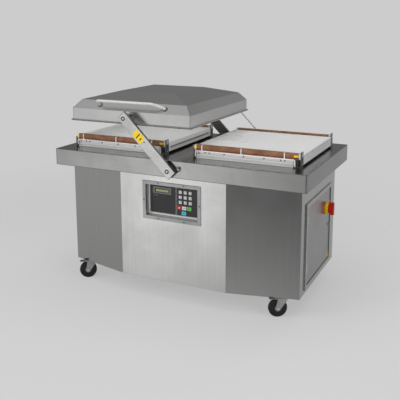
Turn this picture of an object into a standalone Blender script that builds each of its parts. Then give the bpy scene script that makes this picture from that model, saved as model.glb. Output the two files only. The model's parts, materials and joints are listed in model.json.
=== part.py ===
"""Twin-chamber vacuum packing machine on castors, with one swing lid shared by two chambers.

Frame: metres, +Z up, +X along the worktop to the right, +Y to the back.
The origin is on the floor, under the middle of the worktop.
"""
import math

import bmesh
import bpy
from mathutils import Matrix, Vector

# ---------------------------------------------------------------- driving dimensions
GAP = 0.0003                  # clearance left between pieces that touch
SHEET = 0.003                 # stainless sheet of the cabinet

TABLE_LENGTH = 1.800
TABLE_DEPTH = 1.000
TABLE_TOP = 0.955             # working height above the floor
TABLE_PLATE = 0.004
APRON_HEIGHT = 0.112
APRON_WALL = 0.003
TABLE_CORNER = 0.010

CABINET_HALF = 0.836          # half the cabinet's length
CABINET_FRONT_END = -0.379    # where the angled front facets meet the ends
CABINET_FRONT_MID = -0.482    # the middle facet, furthest forward
CABINET_FOLD = 0.383          # half the middle facet's length
CABINET_BACK = 0.408
CABINET_BOTTOM = 0.130
CABINET_FRONT_TOP = TABLE_TOP - 0.090
BASE_PLATE = 0.150            # underside of the plate that the castors bolt to

WHEEL_RADIUS = 0.060
WHEEL_WIDTH = 0.032
CASTOR_TRAIL = 0.037
CASTOR_TURN = math.radians(212)     # direction in which the castors trail
CASTOR_FRONT_Y = -0.372
CASTOR_BACK_Y = 0.300
CASTOR_LEFT_X = -0.707
CASTOR_RIGHT_X = 0.731

PIVOT_Z = TABLE_TOP - 0.064   # swing shaft, under the table plate
SHAFT_RADIUS = 0.016
ARM_LENGTH = 0.447            # between the two pivots
ARM_REST = math.radians(45)   # lean to the left of upright
ARM_WIDTH = 0.072
ARM_PAST_LID = 0.032          # the bar runs this far past the lid's pivot
ARM_PAST_SHAFT = 0.042        # and this far past the swing shaft
ARM_THICK = 0.018
ARM_INNER = 0.514             # inner face of each arm from the middle plane
GUIDE_OFFSET = 0.310          # the guide rod stands this far right of the rear arm
GUIDE_RADIUS = 0.0054

LID_HALF_X = 0.4515
LID_HALF_Y = 0.466
LID_SKIRT = 0.080
LID_BEVEL_TOP = 0.136
LID_BEVEL_INSET = 0.048
LID_ROOF_TOP = 0.185
LID_ROOF_INSET = 0.240
LID_WALL = 0.004
LID_FLANGE = 0.012
LID_PIVOT_UP = 0.0441         # lid pivot above the lid's rim
LINK_HALF = 0.022             # half the height of the plates that carry the lid
COUNTER_HALF = 0.350
COUNTER_LOW = 0.0960          # underside of the counter bars above the lid's rim
COUNTER_HIGH = 0.1250
GASKET_DROP = 0.004

CHAMBER_MID = 0.461           # centre of each chamber from the middle of the table
PLATE_HALF_X = 0.360
PLATE_HALF_Y = 0.322
PLATE_TOP = 0.077
PLATE_THICK = 0.0295
BAR_Y = 0.345                 # centre line of the seal bars
BAR_HALF = 0.353
BAR_THICK = 0.030
BAR_TOP = 0.087
BAR_BAND = 0.034              # height of the bar's upper, covered part
BAR_FOOT = 0.0116
BAR_BODY = 0.014              # half the width of the bar's lower body
GUIDE_TALL = 0.098            # end plates at the right end of each bar
GUIDE_SHORT = 0.070           # end plates at the left end

PANEL_HALF_X = 0.212          # control recess, outer edge of its bezel
PANEL_LOW = TABLE_TOP - 0.409
PANEL_HIGH = TABLE_TOP - 0.152
PANEL_BORDER = 0.023
PANEL_DEPTH = 0.042
FASCIA_THICK = 0.003
KEY_TRAVEL_ROOM = 0.0015
KEY_SIZE = 0.020
KEY_COLUMNS = (0.046, 0.082, 0.118)
KEY_ROWS = (TABLE_TOP - 0.215, TABLE_TOP - 0.249, TABLE_TOP - 0.283)
COMMAND_ROW = TABLE_TOP - 0.320
COMMAND_LOW_ROW = TABLE_TOP - 0.354
COMMAND_WIDE = 0.031
COMMAND_TALL = 0.024

DOOR_LOW = TABLE_TOP - 0.777
DOOR_HIGH = TABLE_TOP - 0.263
DOOR_FRONT = -0.265
DOOR_BACK = 0.286
DOOR_LIP = 0.024
DOOR_LIP_PROUD = 0.008
DOOR_CLEAR = 0.002
DOOR_THICK = 0.016
DOOR_FACE = CABINET_HALF + 0.003
SWITCH_Y = 0.213
SWITCH_Z = TABLE_TOP - 0.400
LATCH_Y = 0.262
LATCH_Z = TABLE_TOP - 0.528

X_AXIS = Vector((1, 0, 0))
Y_AXIS = Vector((0, 1, 0))

for old in list(bpy.data.objects):
    bpy.data.objects.remove(old, do_unlink=True)


# ---------------------------------------------------------------- materials
def material(name, colour, roughness, metallic=0.0):
    made = bpy.data.materials.new(name)
    made.use_nodes = True
    shader = made.node_tree.nodes["Principled BSDF"]
    shader.inputs["Base Color"].default_value = (*colour, 1.0)
    shader.inputs["Roughness"].default_value = roughness
    shader.inputs["Metallic"].default_value = metallic
    return made


STEEL = material("brushed_stainless", (0.56, 0.56, 0.55), 0.35, 1.0)
SATIN = material("satin_steel", (0.62, 0.62, 0.61), 0.30, 1.0)
DARK_STEEL = material("dark_steel", (0.16, 0.16, 0.16), 0.45, 0.8)
ALUMINIUM = material("aluminium_profile", (0.72, 0.72, 0.71), 0.40, 1.0)
WHITE_PLASTIC = material("white_polyethylene", (0.84, 0.84, 0.83), 0.50)
BLACK_RUBBER = material("black_rubber", (0.025, 0.025, 0.025), 0.70)
SILICONE = material("grey_silicone", (0.35, 0.35, 0.34), 0.60)
FASCIA = material("dark_fascia", (0.035, 0.035, 0.037), 0.35)
PUMP_PAINT = material("pump_paint", (0.10, 0.14, 0.17), 0.50)
LIGHT_KEY = material("light_key", (0.68, 0.68, 0.67), 0.50)
RED_KEY = material("red_key", (0.58, 0.04, 0.02), 0.45)
GREEN_KEY = material("green_key", (0.20, 0.50, 0.12), 0.45)
BLUE_KEY = material("blue_key", (0.12, 0.48, 0.65), 0.45)
YELLOW = material("yellow_plastic", (0.85, 0.62, 0.02), 0.40)
RED = material("red_plastic", (0.60, 0.02, 0.01), 0.35)
ZINC = material("zinc_plate", (0.60, 0.60, 0.58), 0.40, 1.0)


# ---------------------------------------------------------------- modelling helpers
def finish(name, mesh_builder, made_of, smooth=False):
    """Turn a filled bmesh into a named object."""
    bmesh.ops.recalc_face_normals(mesh_builder, faces=mesh_builder.faces)
    mesh = bpy.data.meshes.new(name)
    mesh_builder.to_mesh(mesh)
    mesh_builder.free()
    mesh.materials.append(made_of)
    if smooth:
        mesh.shade_smooth()
        mesh.set_sharp_from_angle(angle=math.radians(35))
    item = bpy.data.objects.new(name, mesh)
    bpy.context.scene.collection.objects.link(item)
    return item


def box(name, low, high, made_of=STEEL, turn=None):
    """A block between two corners, optionally turned by a matrix about its own middle."""
    shape = bmesh.new()
    low, high = Vector(low), Vector(high)
    bmesh.ops.create_cube(shape, size=1.0, matrix=Matrix.Diagonal((*(high - low), 1.0)))
    if turn is not None:
        bmesh.ops.transform(shape, matrix=turn, verts=shape.verts)
    bmesh.ops.translate(shape, vec=(low + high) / 2, verts=shape.verts)
    return finish(name, shape, made_of)


def rod(name, start, end, radius, made_of=SATIN, sides=24):
    """A round bar between two points."""
    start, end = Vector(start), Vector(end)
    along = end - start
    shape = bmesh.new()
    turn = along.to_track_quat("Z", "Y").to_matrix().to_4x4()
    place = Matrix.Translation((start + end) / 2) @ turn
    bmesh.ops.create_cone(shape, cap_ends=True, segments=sides, radius1=radius, radius2=radius,
                          depth=along.length, matrix=place)
    return finish(name, shape, made_of, smooth=True)


def prism(name, outline, low, high, made_of=STEEL, axis="Z"):
    """An outline of (u, v) points pushed from low to high along axis."""
    shape = bmesh.new()
    place = {"Z": lambda u, v, w: (u, v, w), "Y": lambda u, v, w: (u, w, v)}[axis]
    base = shape.faces.new([shape.verts.new(place(u, v, low)) for u, v in outline])
    pushed = bmesh.ops.extrude_face_region(shape, geom=[base])["geom"]
    corners = [part for part in pushed if isinstance(part, bmesh.types.BMVert)]
    bmesh.ops.translate(shape, vec=Vector(place(0, 0, high)) - Vector(place(0, 0, low)), verts=corners)
    return finish(name, shape, made_of)


def rounded_rectangle(half_x, half_y, radius, steps=3):
    """Corner points of a rectangle with rounded corners, counter-clockwise."""
    points = []
    for corner, (side_x, side_y) in enumerate(((1, 1), (-1, 1), (-1, -1), (1, -1))):
        for step in range(steps + 1):
            angle = math.radians(90 * (corner + step / steps))
            points.append((side_x * (half_x - radius) + radius * math.cos(angle),
                           side_y * (half_y - radius) + radius * math.sin(angle)))
    return points


def stack(name, rings, made_of=STEEL):
    """Skin rings of equally many 3-D points in order, and cap the first and the last."""
    shape = bmesh.new()
    rows = [[shape.verts.new(point) for point in ring] for ring in rings]
    shape.faces.new(rows[0])
    shape.faces.new(rows[-1])
    for lower, upper in zip(rows, rows[1:]):
        for index in range(len(lower)):
            after = (index + 1) % len(lower)
            shape.faces.new((lower[index], lower[after], upper[after], upper[index]))
    return finish(name, shape, made_of)


def combine(item, tool, operation):
    """Cut or join one solid with another, and drop the other."""
    step = item.modifiers.new(operation.lower(), "BOOLEAN")
    step.operation = operation
    step.object = tool
    bpy.context.view_layer.update()
    graph = bpy.context.evaluated_depsgraph_get()
    result = bpy.data.meshes.new_from_object(item.evaluated_get(graph))
    item.modifiers.clear()
    item.data = result
    bpy.data.objects.remove(tool, do_unlink=True)
    return item


def cut(item, *tools):
    for tool in tools:
        combine(item, tool, "DIFFERENCE")
    return item


def join(item, *tools):
    for tool in tools:
        combine(item, tool, "UNION")
    return item


def soften(item, width, segments=2, angle=40):
    """Round the hard edges of a solid."""
    step = item.modifiers.new("soften", "BEVEL")
    step.width = width
    step.segments = segments
    step.limit_method = "ANGLE"
    step.angle_limit = math.radians(angle)
    return item


def set_origin(item, point):
    """Put the object's origin on its joint, leaving the solid where it is."""
    item.data.transform(Matrix.Translation(-Vector(point)))
    item.location = point
    return item


# ---------------------------------------------------------------- table and cabinet
def make_worktop():
    """Deep-edged worktop: a plate with an apron all round, open underneath."""
    outline = rounded_rectangle(TABLE_LENGTH / 2, TABLE_DEPTH / 2, TABLE_CORNER)
    top = prism("worktop", outline, TABLE_TOP - APRON_HEIGHT, TABLE_TOP)
    soften(top, 0.003, 2, 60)
    inner_x, inner_y = TABLE_LENGTH / 2 - APRON_WALL, TABLE_DEPTH / 2 - APRON_WALL
    hollow = box("hollow",
                 (-inner_x, -inner_y, TABLE_TOP - APRON_HEIGHT - 0.05),
                 (inner_x, inner_y, TABLE_TOP - TABLE_PLATE))
    shaft_hole = rod("shaft_hole", (0, -TABLE_DEPTH, PIVOT_Z), (0, TABLE_DEPTH, PIVOT_Z),
                     SHAFT_RADIUS + 0.001)
    return cut(top, hollow, shaft_hole)


def front_line(inset, half_length=CABINET_HALF):
    """Plan line of the three front facets, moved inwards by inset and cut off at half_length."""
    lean = math.atan2(CABINET_FRONT_END - CABINET_FRONT_MID, CABINET_HALF - CABINET_FOLD)
    fold = CABINET_FOLD - inset * math.tan(lean / 2)
    mid_y = CABINET_FRONT_MID + inset
    end_y = mid_y + (half_length - fold) * math.tan(lean)
    return [(-half_length, end_y), (-fold, mid_y), (fold, mid_y), (half_length, end_y)]


def make_front_panel():
    """One sheet folded into three facets, with the cut-out for the controls."""
    outline = front_line(0) + front_line(SHEET)[::-1]
    panel = prism("front_panel", outline, CABINET_BOTTOM, CABINET_FRONT_TOP)
    half = PANEL_HALF_X - PANEL_BORDER + 0.0025
    opening = box("opening",
                  (-half, CABINET_FRONT_MID - 0.05, PANEL_LOW + PANEL_BORDER - 0.0025),
                  (half, CABINET_FRONT_MID + 0.05, PANEL_HIGH - PANEL_BORDER + 0.0025))
    return cut(panel, opening)


def make_rear_panel():
    reach = CABINET_HALF - SHEET - GAP
    return box("rear_panel", (-reach, CABINET_BACK - SHEET, CABINET_BOTTOM),
               (reach, CABINET_BACK, CABINET_FRONT_TOP))


def side_sheet(name, side):
    inner, outer = sorted((side * CABINET_HALF, side * (CABINET_HALF - SHEET)))
    top = TABLE_TOP - TABLE_PLATE - GAP
    return box(name, (inner, CABINET_FRONT_END + SHEET + 0.001, CABINET_BOTTOM), (outer, CABINET_BACK, top))


def make_side_panels():
    """Plain sheet on the left; on the right a sheet with a raised lip round the door."""
    side_sheet("side_panel_left", -1)
    right = side_sheet("side_panel_right", 1)
    lip = box("lip",
              (CABINET_HALF - SHEET / 2, DOOR_FRONT - DOOR_LIP, DOOR_LOW - DOOR_LIP),
              (CABINET_HALF + DOOR_LIP_PROUD, DOOR_BACK + DOOR_LIP, DOOR_HIGH + DOOR_LIP))
    opening = box("opening", (CABINET_HALF - 0.1, DOOR_FRONT, DOOR_LOW),
                  (CABINET_HALF + 0.1, DOOR_BACK, DOOR_HIGH))
    return cut(join(right, lip), opening)


def castor_spots():
    """Swivel axis of each castor: name, x and y."""
    return (("front_left", CASTOR_LEFT_X, CASTOR_FRONT_Y), ("front_right", CASTOR_RIGHT_X, CASTOR_FRONT_Y),
            ("rear_left", CASTOR_LEFT_X, CASTOR_BACK_Y), ("rear_right", CASTOR_RIGHT_X, CASTOR_BACK_Y))


def make_base_frame():
    """Floor plate of the cabinet with a pad and a kingpin head for each castor."""
    inset = SHEET + 2 * GAP
    reach = CABINET_HALF - inset
    outline = front_line(inset, reach) + [(reach, CABINET_BACK - inset), (-reach, CABINET_BACK - inset)]
    frame = prism("base_frame", outline, BASE_PLATE, BASE_PLATE + 0.004)
    for _, x, y in castor_spots():
        # a pad stops short of the angled front sheet
        pad = box("pad", (x - 0.048, y - 0.014, BASE_PLATE - 0.005),
                  (x + 0.048, y + 0.045, BASE_PLATE + 0.002), ZINC)
        head = rod("head", (x, y, BASE_PLATE - 0.009), (x, y, BASE_PLATE), 0.010, ZINC, 16)
        join(frame, pad, head)
    return frame


# ---------------------------------------------------------------- controls
def make_control_bezel():
    """Flanged tray that frames the recessed control fascia."""
    front = CABINET_FRONT_MID - GAP
    inner_x = PANEL_HALF_X - PANEL_BORDER
    inner_low = PANEL_LOW + PANEL_BORDER
    inner_high = PANEL_HIGH - PANEL_BORDER
    wall = 0.002
    back = front + PANEL_DEPTH
    bezel = box("control_bezel", (-PANEL_HALF_X, front - 0.004, PANEL_LOW),
                (PANEL_HALF_X, front, PANEL_HIGH), SATIN)
    soften(bezel, 0.0015, 1)
    tray = box("tray", (-inner_x - wall, front - 0.001, inner_low - wall),
               (inner_x + wall, back, inner_high + wall))
    opening = box("opening", (-inner_x, front - 0.1, inner_low), (inner_x, back + 0.1, inner_high))
    return cut(join(bezel, tray), opening)


def key_layout():
    """Name, centre x, centre z, width, height and material of each key."""
    keys = []
    for row, z in enumerate(KEY_ROWS):
        for column, x in enumerate(KEY_COLUMNS):
            keys.append((f"key_{row * 3 + column + 1}", x, z, KEY_SIZE, KEY_SIZE, LIGHT_KEY))
    commands = (("key_stop", KEY_COLUMNS[0] - 0.008, COMMAND_ROW, RED_KEY),
                ("key_select", KEY_COLUMNS[1] - 0.008, COMMAND_ROW, LIGHT_KEY),
                ("key_start", KEY_COLUMNS[2] - 0.008, COMMAND_ROW, GREEN_KEY),
                ("key_air", KEY_COLUMNS[1] - 0.010, COMMAND_LOW_ROW, BLUE_KEY))
    for name, x, z, made_of in commands:
        keys.append((name, x, z, COMMAND_WIDE, COMMAND_TALL, made_of))
    return keys


def make_controls():
    """Fascia plate with a window for every key, and the keys themselves."""
    face = CABINET_FRONT_MID - GAP + PANEL_DEPTH - FASCIA_THICK - 0.002
    inner_x = PANEL_HALF_X - PANEL_BORDER - GAP
    low = PANEL_LOW + PANEL_BORDER + GAP
    high = PANEL_HIGH - PANEL_BORDER - GAP
    fascia = box("control_fascia", (-inner_x, face, low), (inner_x, face + FASCIA_THICK, high), FASCIA)
    for name, x, z, wide, tall, made_of in key_layout():
        window = box("window", (x - wide / 2 - 0.0005, face - 0.01, z - tall / 2 - 0.0005),
                     (x + wide / 2 + 0.0005, face + 0.01, z + tall / 2 + 0.0005))
        cut(fascia, window)
        key = box(name, (x - wide / 2, face - 0.0015, z - tall / 2),
                  (x + wide / 2, face + FASCIA_THICK - 0.0005, z + tall / 2), made_of)
        set_origin(key, (x, face, z))
    box("electrics_box", (-0.170, face + FASCIA_THICK + KEY_TRAVEL_ROOM + 0.006, PANEL_LOW + 0.030),
        (0.170, face + 0.110, PANEL_HIGH - 0.030), ZINC)


# ---------------------------------------------------------------- side door and main switch
def make_door():
    """Folded door pan, open towards the inside, and its quarter-turn latch."""
    inner = DOOR_FACE - DOOR_THICK
    door = box("service_door",
               (inner, DOOR_FRONT + DOOR_CLEAR, DOOR_LOW + DOOR_CLEAR),
               (DOOR_FACE, DOOR_BACK - DOOR_CLEAR, DOOR_HIGH - DOOR_CLEAR))
    rim = DOOR_CLEAR + SHEET
    cut(door, box("hollow", (inner - SHEET, DOOR_FRONT + rim, DOOR_LOW + rim),
                  (DOOR_FACE - SHEET, DOOR_BACK - rim, DOOR_HIGH - rim)))
    set_origin(door, (DOOR_FACE + 0.001, DOOR_FRONT + DOOR_CLEAR, (DOOR_LOW + DOOR_HIGH) / 2))

    latch = rod("door_latch", (DOOR_FACE + GAP, LATCH_Y, LATCH_Z), (DOOR_FACE + 0.007, LATCH_Y, LATCH_Z),
                0.009, ZINC, 20)
    slot = box("slot", (DOOR_FACE + 0.004, LATCH_Y - 0.0015, LATCH_Z - 0.006),
               (DOOR_FACE + 0.010, LATCH_Y + 0.0015, LATCH_Z + 0.006))
    set_origin(cut(latch, slot), (DOOR_FACE, LATCH_Y, LATCH_Z))


def make_main_switch():
    """Rotary isolator on the door: a yellow plate and a red grip."""
    plate_out = DOOR_FACE + 0.012
    rod("switch_base", (DOOR_FACE + GAP, SWITCH_Y, SWITCH_Z), (plate_out, SWITCH_Y, SWITCH_Z),
        0.040, YELLOW, 32)
    knob = rod("switch_knob", (plate_out + GAP, SWITCH_Y, SWITCH_Z), (plate_out + 0.012, SWITCH_Y, SWITCH_Z),
               0.032, RED, 28)
    grip = box("grip", (plate_out + 0.006, SWITCH_Y - 0.012, SWITCH_Z - 0.042),
               (plate_out + 0.036, SWITCH_Y + 0.012, SWITCH_Z + 0.042), RED)
    set_origin(join(knob, grip), (plate_out, SWITCH_Y, SWITCH_Z))


# ---------------------------------------------------------------- inside the cabinet
def make_vacuum_pump():
    """Oil-sealed rotary pump with its motor, standing on the floor plate."""
    floor = BASE_PLATE + 0.004
    shaft = floor + 0.155
    pump = box("vacuum_pump", (-0.30, -0.07, floor + 0.04), (-0.06, 0.15, floor + 0.27), PUMP_PAINT)
    soften(pump, 0.012, 1)
    motor = rod("motor", (-0.08, 0.04, shaft), (0.22, 0.04, shaft), 0.080, PUMP_PAINT, 28)
    filter_can = rod("filter_can", (-0.18, 0.04, floor + 0.25), (-0.18, 0.04, floor + 0.37),
                     0.052, PUMP_PAINT, 24)
    join(pump, motor, filter_can)
    for x in (-0.27, -0.09):
        for y in (-0.04, 0.12):
            join(pump, rod("foot", (x, y, floor + GAP), (x, y, floor + 0.05), 0.018, BLACK_RUBBER, 14))
    return pump


def make_cable_gland():
    """Mains inlet low on the back, with its bore open to the outside."""
    x, z = 0.60, CABINET_BOTTOM + 0.12
    back = CABINET_BACK + GAP
    gland = rod("cable_gland", (x, back, z), (x, back + 0.008, z), 0.020, BLACK_RUBBER, 6)
    join(gland, rod("neck", (x, back + 0.004, z), (x, back + 0.028, z), 0.014, BLACK_RUBBER, 18))
    return cut(gland, rod("bore", (x, back + 0.006, z), (x, back + 0.060, z), 0.008, BLACK_RUBBER, 16))


# ---------------------------------------------------------------- the two chambers
def make_product_plates(label, centre):
    """Two stacked insert plates with a narrow step between them, on short feet."""
    top = TABLE_TOP + PLATE_TOP
    seam = 0.002
    lower_top = top - PLATE_THICK - seam
    lower_bottom = lower_top - PLATE_THICK
    plates = box(f"product_plates_{label}", (centre - PLATE_HALF_X, -PLATE_HALF_Y, top - PLATE_THICK),
                 (centre + PLATE_HALF_X, PLATE_HALF_Y, top), WHITE_PLASTIC)
    lower = box("lower", (centre - PLATE_HALF_X, -PLATE_HALF_Y, lower_bottom),
                (centre + PLATE_HALF_X, PLATE_HALF_Y, lower_top), WHITE_PLASTIC)
    core_x, core_y = PLATE_HALF_X - 0.006, PLATE_HALF_Y - 0.006
    core = box("core", (centre - core_x, -core_y, lower_top - 0.004),
               (centre + core_x, core_y, top - PLATE_THICK + 0.004), WHITE_PLASTIC)
    join(plates, core, lower)
    for x in (-0.28, 0, 0.28):
        for y in (-0.24, 0.24):
            foot = rod("foot", (centre + x, y, TABLE_TOP + GAP), (centre + x, y, lower_bottom + 0.002),
                       0.020, WHITE_PLASTIC, 16)
            join(plates, foot)
    set_origin(plates, (centre, 0, TABLE_TOP))


def make_seal_bar(label, centre, y):
    """Lifting bar: a covered upper band over a narrower aluminium body."""
    base = TABLE_TOP
    band = box(f"seal_bar_{label}", (centre - BAR_HALF, y - BAR_THICK / 2, base + BAR_TOP - BAR_BAND),
               (centre + BAR_HALF, y + BAR_THICK / 2, base + BAR_TOP), ALUMINIUM)
    body = box("body", (centre - BAR_HALF + 0.042, y - BAR_BODY, base + BAR_FOOT),
               (centre + BAR_HALF - 0.042, y + BAR_BODY, base + BAR_TOP - BAR_BAND + 0.001), ALUMINIUM)
    set_origin(join(band, body), (centre, y, base))


def make_seal_guide(label, centre, y):
    """Rail on the table with an end plate and a lifting post at each end of the bar."""
    base = TABLE_TOP + GAP
    end = BAR_HALF + 0.0015
    outward = math.copysign(1, y)
    near, far = sorted((outward * (BAR_Y - 0.020), outward * (BAR_Y + 0.023)))
    guide = box(f"seal_guide_{label}", (centre - end - 0.004, y - BAR_BODY, base),
                (centre + end + 0.004, y + BAR_BODY, base + 0.010), DARK_STEEL)
    for side, height in ((-1, GUIDE_SHORT), (1, GUIDE_TALL)):
        inner, outer = sorted((centre + side * end, centre + side * (end + 0.006)))
        join(guide, box("plate", (inner, near, base), (outer, far, TABLE_TOP + height), DARK_STEEL))
        post_x = centre + side * (BAR_HALF - 0.021)
        join(guide, rod("post", (post_x, y, base + 0.005), (post_x, y, TABLE_TOP + BAR_TOP - BAR_BAND - GAP),
                        0.0145, BLACK_RUBBER, 16))
    return guide


def make_chambers():
    for label, centre in (("left", -CHAMBER_MID), ("right", CHAMBER_MID)):
        make_product_plates(label, centre)
        for row, y in (("front", -BAR_Y), ("rear", BAR_Y)):
            make_seal_guide(f"{row}_{label}", centre, y)
            make_seal_bar(f"{row}_{label}", centre, y)


# ---------------------------------------------------------------- swing lid
LID_X = -ARM_LENGTH * math.sin(ARM_REST)
LID_PIVOT_Z = PIVOT_Z + ARM_LENGTH * math.cos(ARM_REST)
LID_RIM = LID_PIVOT_Z - LID_PIVOT_UP


def lid_ring(half_x, half_y, height, radius):
    return [(LID_X + x, y, LID_RIM + height) for x, y in rounded_rectangle(half_x, half_y, radius)]


def make_lid_shell():
    """Hip-roofed lid: flange, upright skirt, bevel and a low roof, hollow underneath."""
    inset = LID_BEVEL_INSET
    roof = LID_ROOF_INSET
    outer = (
        (-LID_FLANGE, 0.0, 0.016), (-LID_FLANGE, 0.004, 0.016), (0.0, 0.006, 0.008), (0.0, LID_SKIRT, 0.008),
        (inset, LID_BEVEL_TOP, 0.006), (roof, LID_ROOF_TOP, 0.006))
    shell = stack("lid_shell", [lid_ring(LID_HALF_X - i, LID_HALF_Y - i, h, r) for i, h, r in outer])
    wall = LID_WALL
    inner = (
        (wall, -0.02, 0.005), (wall, LID_SKIRT - wall / 2, 0.005),
        (inset + wall / 2, LID_BEVEL_TOP - wall, 0.004), (roof, LID_ROOF_TOP - wall, 0.004))
    return cut(shell, stack("hollow", [lid_ring(LID_HALF_X - i, LID_HALF_Y - i, h, r) for i, h, r in inner]))


def make_lid_gasket():
    low, high = LID_RIM - GASKET_DROP, LID_RIM - GAP
    outer = [(LID_X + x, y) for x, y in rounded_rectangle(LID_HALF_X + 0.006, LID_HALF_Y + 0.006, 0.012)]
    inner = [(LID_X + x, y) for x, y in rounded_rectangle(LID_HALF_X - 0.005, LID_HALF_Y - 0.005, 0.006)]
    ring = prism("lid_gasket", outer, low, high, BLACK_RUBBER)
    return cut(ring, prism("hole", inner, low - 0.01, high + 0.01))


def make_lid_handle():
    """Round grab rail over the front bevel: an upright foot on the left, a slanting one on the right."""
    slope = Vector((0, LID_BEVEL_INSET, LID_BEVEL_TOP - LID_SKIRT)).normalized()
    outward = Vector((0, -slope.z, slope.y))
    middle = Vector((0, -LID_HALF_Y + LID_BEVEL_INSET / 2, LID_RIM + (LID_SKIRT + LID_BEVEL_TOP) / 2))
    left, bend, right = LID_X - 0.240, LID_X + 0.176, LID_X + 0.255
    stand_off = 0.050

    def spot(x, out):
        return middle + X_AXIS * x + outward * out

    path = [spot(left, GAP), spot(left, stand_off - 0.012), spot(left + 0.003, stand_off - 0.003),
            spot(left + 0.012, stand_off), spot(bend - 0.010, stand_off),
            spot(bend + 0.012, stand_off - 0.003), spot(right - 0.008, 0.013), spot(right, 0.006),
            spot(right, GAP)]
    curve = bpy.data.curves.new("rail", "CURVE")
    curve.dimensions = "3D"
    curve.bevel_depth = 0.010
    curve.bevel_resolution = 2
    curve.use_fill_caps = True
    line = curve.splines.new("POLY")
    line.points.add(len(path) - 1)
    for point, place in zip(line.points, path):
        point.co = (*place, 1)
    rail = bpy.data.objects.new("lid_handle", curve)
    bpy.context.scene.collection.objects.link(rail)
    curve.materials.append(SATIN)
    return rail


def make_counter_bars():
    """Silicone-faced bars inside the lid, which the seal bars press against."""
    low, high = LID_RIM + COUNTER_LOW, LID_RIM + COUNTER_HIGH
    for row, y in (("front", -BAR_Y), ("rear", BAR_Y)):
        bar = box(f"counter_bar_{row}", (LID_X - COUNTER_HALF, y - 0.015, low),
                  (LID_X + COUNTER_HALF, y + 0.015, high), SILICONE)
        riser = box("riser", (LID_X - 0.250, y - 0.010, high - 0.005),
                    (LID_X + 0.250, y + 0.010, high + 0.0185), SILICONE)
        join(bar, riser)


def make_lid_links():
    """Pivot bosses that carry the lid between the arms, and the rear plate for the guide rod."""
    face = LID_HALF_Y + GAP
    reach = ARM_INNER - GAP
    low, high = LID_PIVOT_Z - LINK_HALF, LID_PIVOT_Z + LINK_HALF
    front = box("lid_pivot_front", (LID_X - 0.035, -face - 0.006, low), (LID_X + 0.035, -face, high), SATIN)
    join(front, rod("boss", (LID_X, -face - 0.003, LID_PIVOT_Z), (LID_X, -reach, LID_PIVOT_Z), 0.017, SATIN))

    pin_x = LID_X + GUIDE_OFFSET
    rear = box("lid_link_rear", (LID_X - 0.035, face, low), (pin_x + 0.030, face + 0.006, high), SATIN)
    join(rear, rod("boss", (LID_X, face + 0.003, LID_PIVOT_Z), (LID_X, reach, LID_PIVOT_Z), 0.017, SATIN))
    join(rear, rod("pin", (pin_x, face + 0.003, LID_PIVOT_Z), (pin_x, reach, LID_PIVOT_Z), 0.010, SATIN))


def make_swing_arms():
    """Flat bars outside the front and rear aprons, fixed to one shaft that crosses under the table."""
    lean = Matrix.Rotation(-ARM_REST, 4, "Y")
    along = Vector((-math.sin(ARM_REST), 0, math.cos(ARM_REST)))
    start = Vector((0, 0, PIVOT_Z)) - along * ARM_PAST_SHAFT
    end = Vector((LID_X, 0, LID_PIVOT_Z)) + along * ARM_PAST_LID
    half = Vector((ARM_WIDTH / 2, ARM_THICK / 2, (end - start).length / 2))
    for label, side in (("front", -1), ("rear", 1)):
        middle = (start + end) / 2 + Y_AXIS * side * (ARM_INNER + ARM_THICK / 2)
        arm = box(f"swing_arm_{label}", middle - half, middle + half, STEEL, lean)
        soften(arm, 0.002, 1)
        outer = side * (ARM_INNER + ARM_THICK)
        for x, z in ((0, PIVOT_Z), (LID_X, LID_PIVOT_Z)):
            join(arm, rod("bolt", (x, outer - side * 0.003, z), (x, outer + side * 0.007, z),
                          0.015, SATIN, 20))
        set_origin(arm, (0, outer, PIVOT_Z))
    reach = ARM_INNER - GAP
    rod("swing_shaft", (0, -reach, PIVOT_Z), (0, reach, PIVOT_Z), SHAFT_RADIUS, SATIN)


def make_guide_rod():
    """Thin rod parallel to the rear arm, which keeps the lid level."""
    near, far = ARM_INNER + GAP, ARM_INNER + 0.012
    middle = (near + far) / 2
    low = Vector((GUIDE_OFFSET, middle, PIVOT_Z))
    high = Vector((GUIDE_OFFSET + LID_X, middle, LID_PIVOT_Z))
    along = (high - low).normalized() * 0.008
    guide = rod("guide_rod", low + along, high - along, GUIDE_RADIUS, SATIN, 12)
    for end in (low, high):
        eye = rod("eye", (end.x, near, end.z), (end.x, far, end.z), 0.015, SATIN, 20)
        join(guide, eye)
    set_origin(guide, low)

    back = TABLE_DEPTH / 2 + GAP
    anchor = box("guide_anchor", (GUIDE_OFFSET - 0.025, back, PIVOT_Z - 0.028),
                 (GUIDE_OFFSET + 0.025, back + 0.006, PIVOT_Z + 0.028), SATIN)
    pin = rod("pin", (GUIDE_OFFSET, back + 0.003, PIVOT_Z), (GUIDE_OFFSET, ARM_INNER - GAP, PIVOT_Z),
              0.010, SATIN, 18)
    join(anchor, pin)


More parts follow.
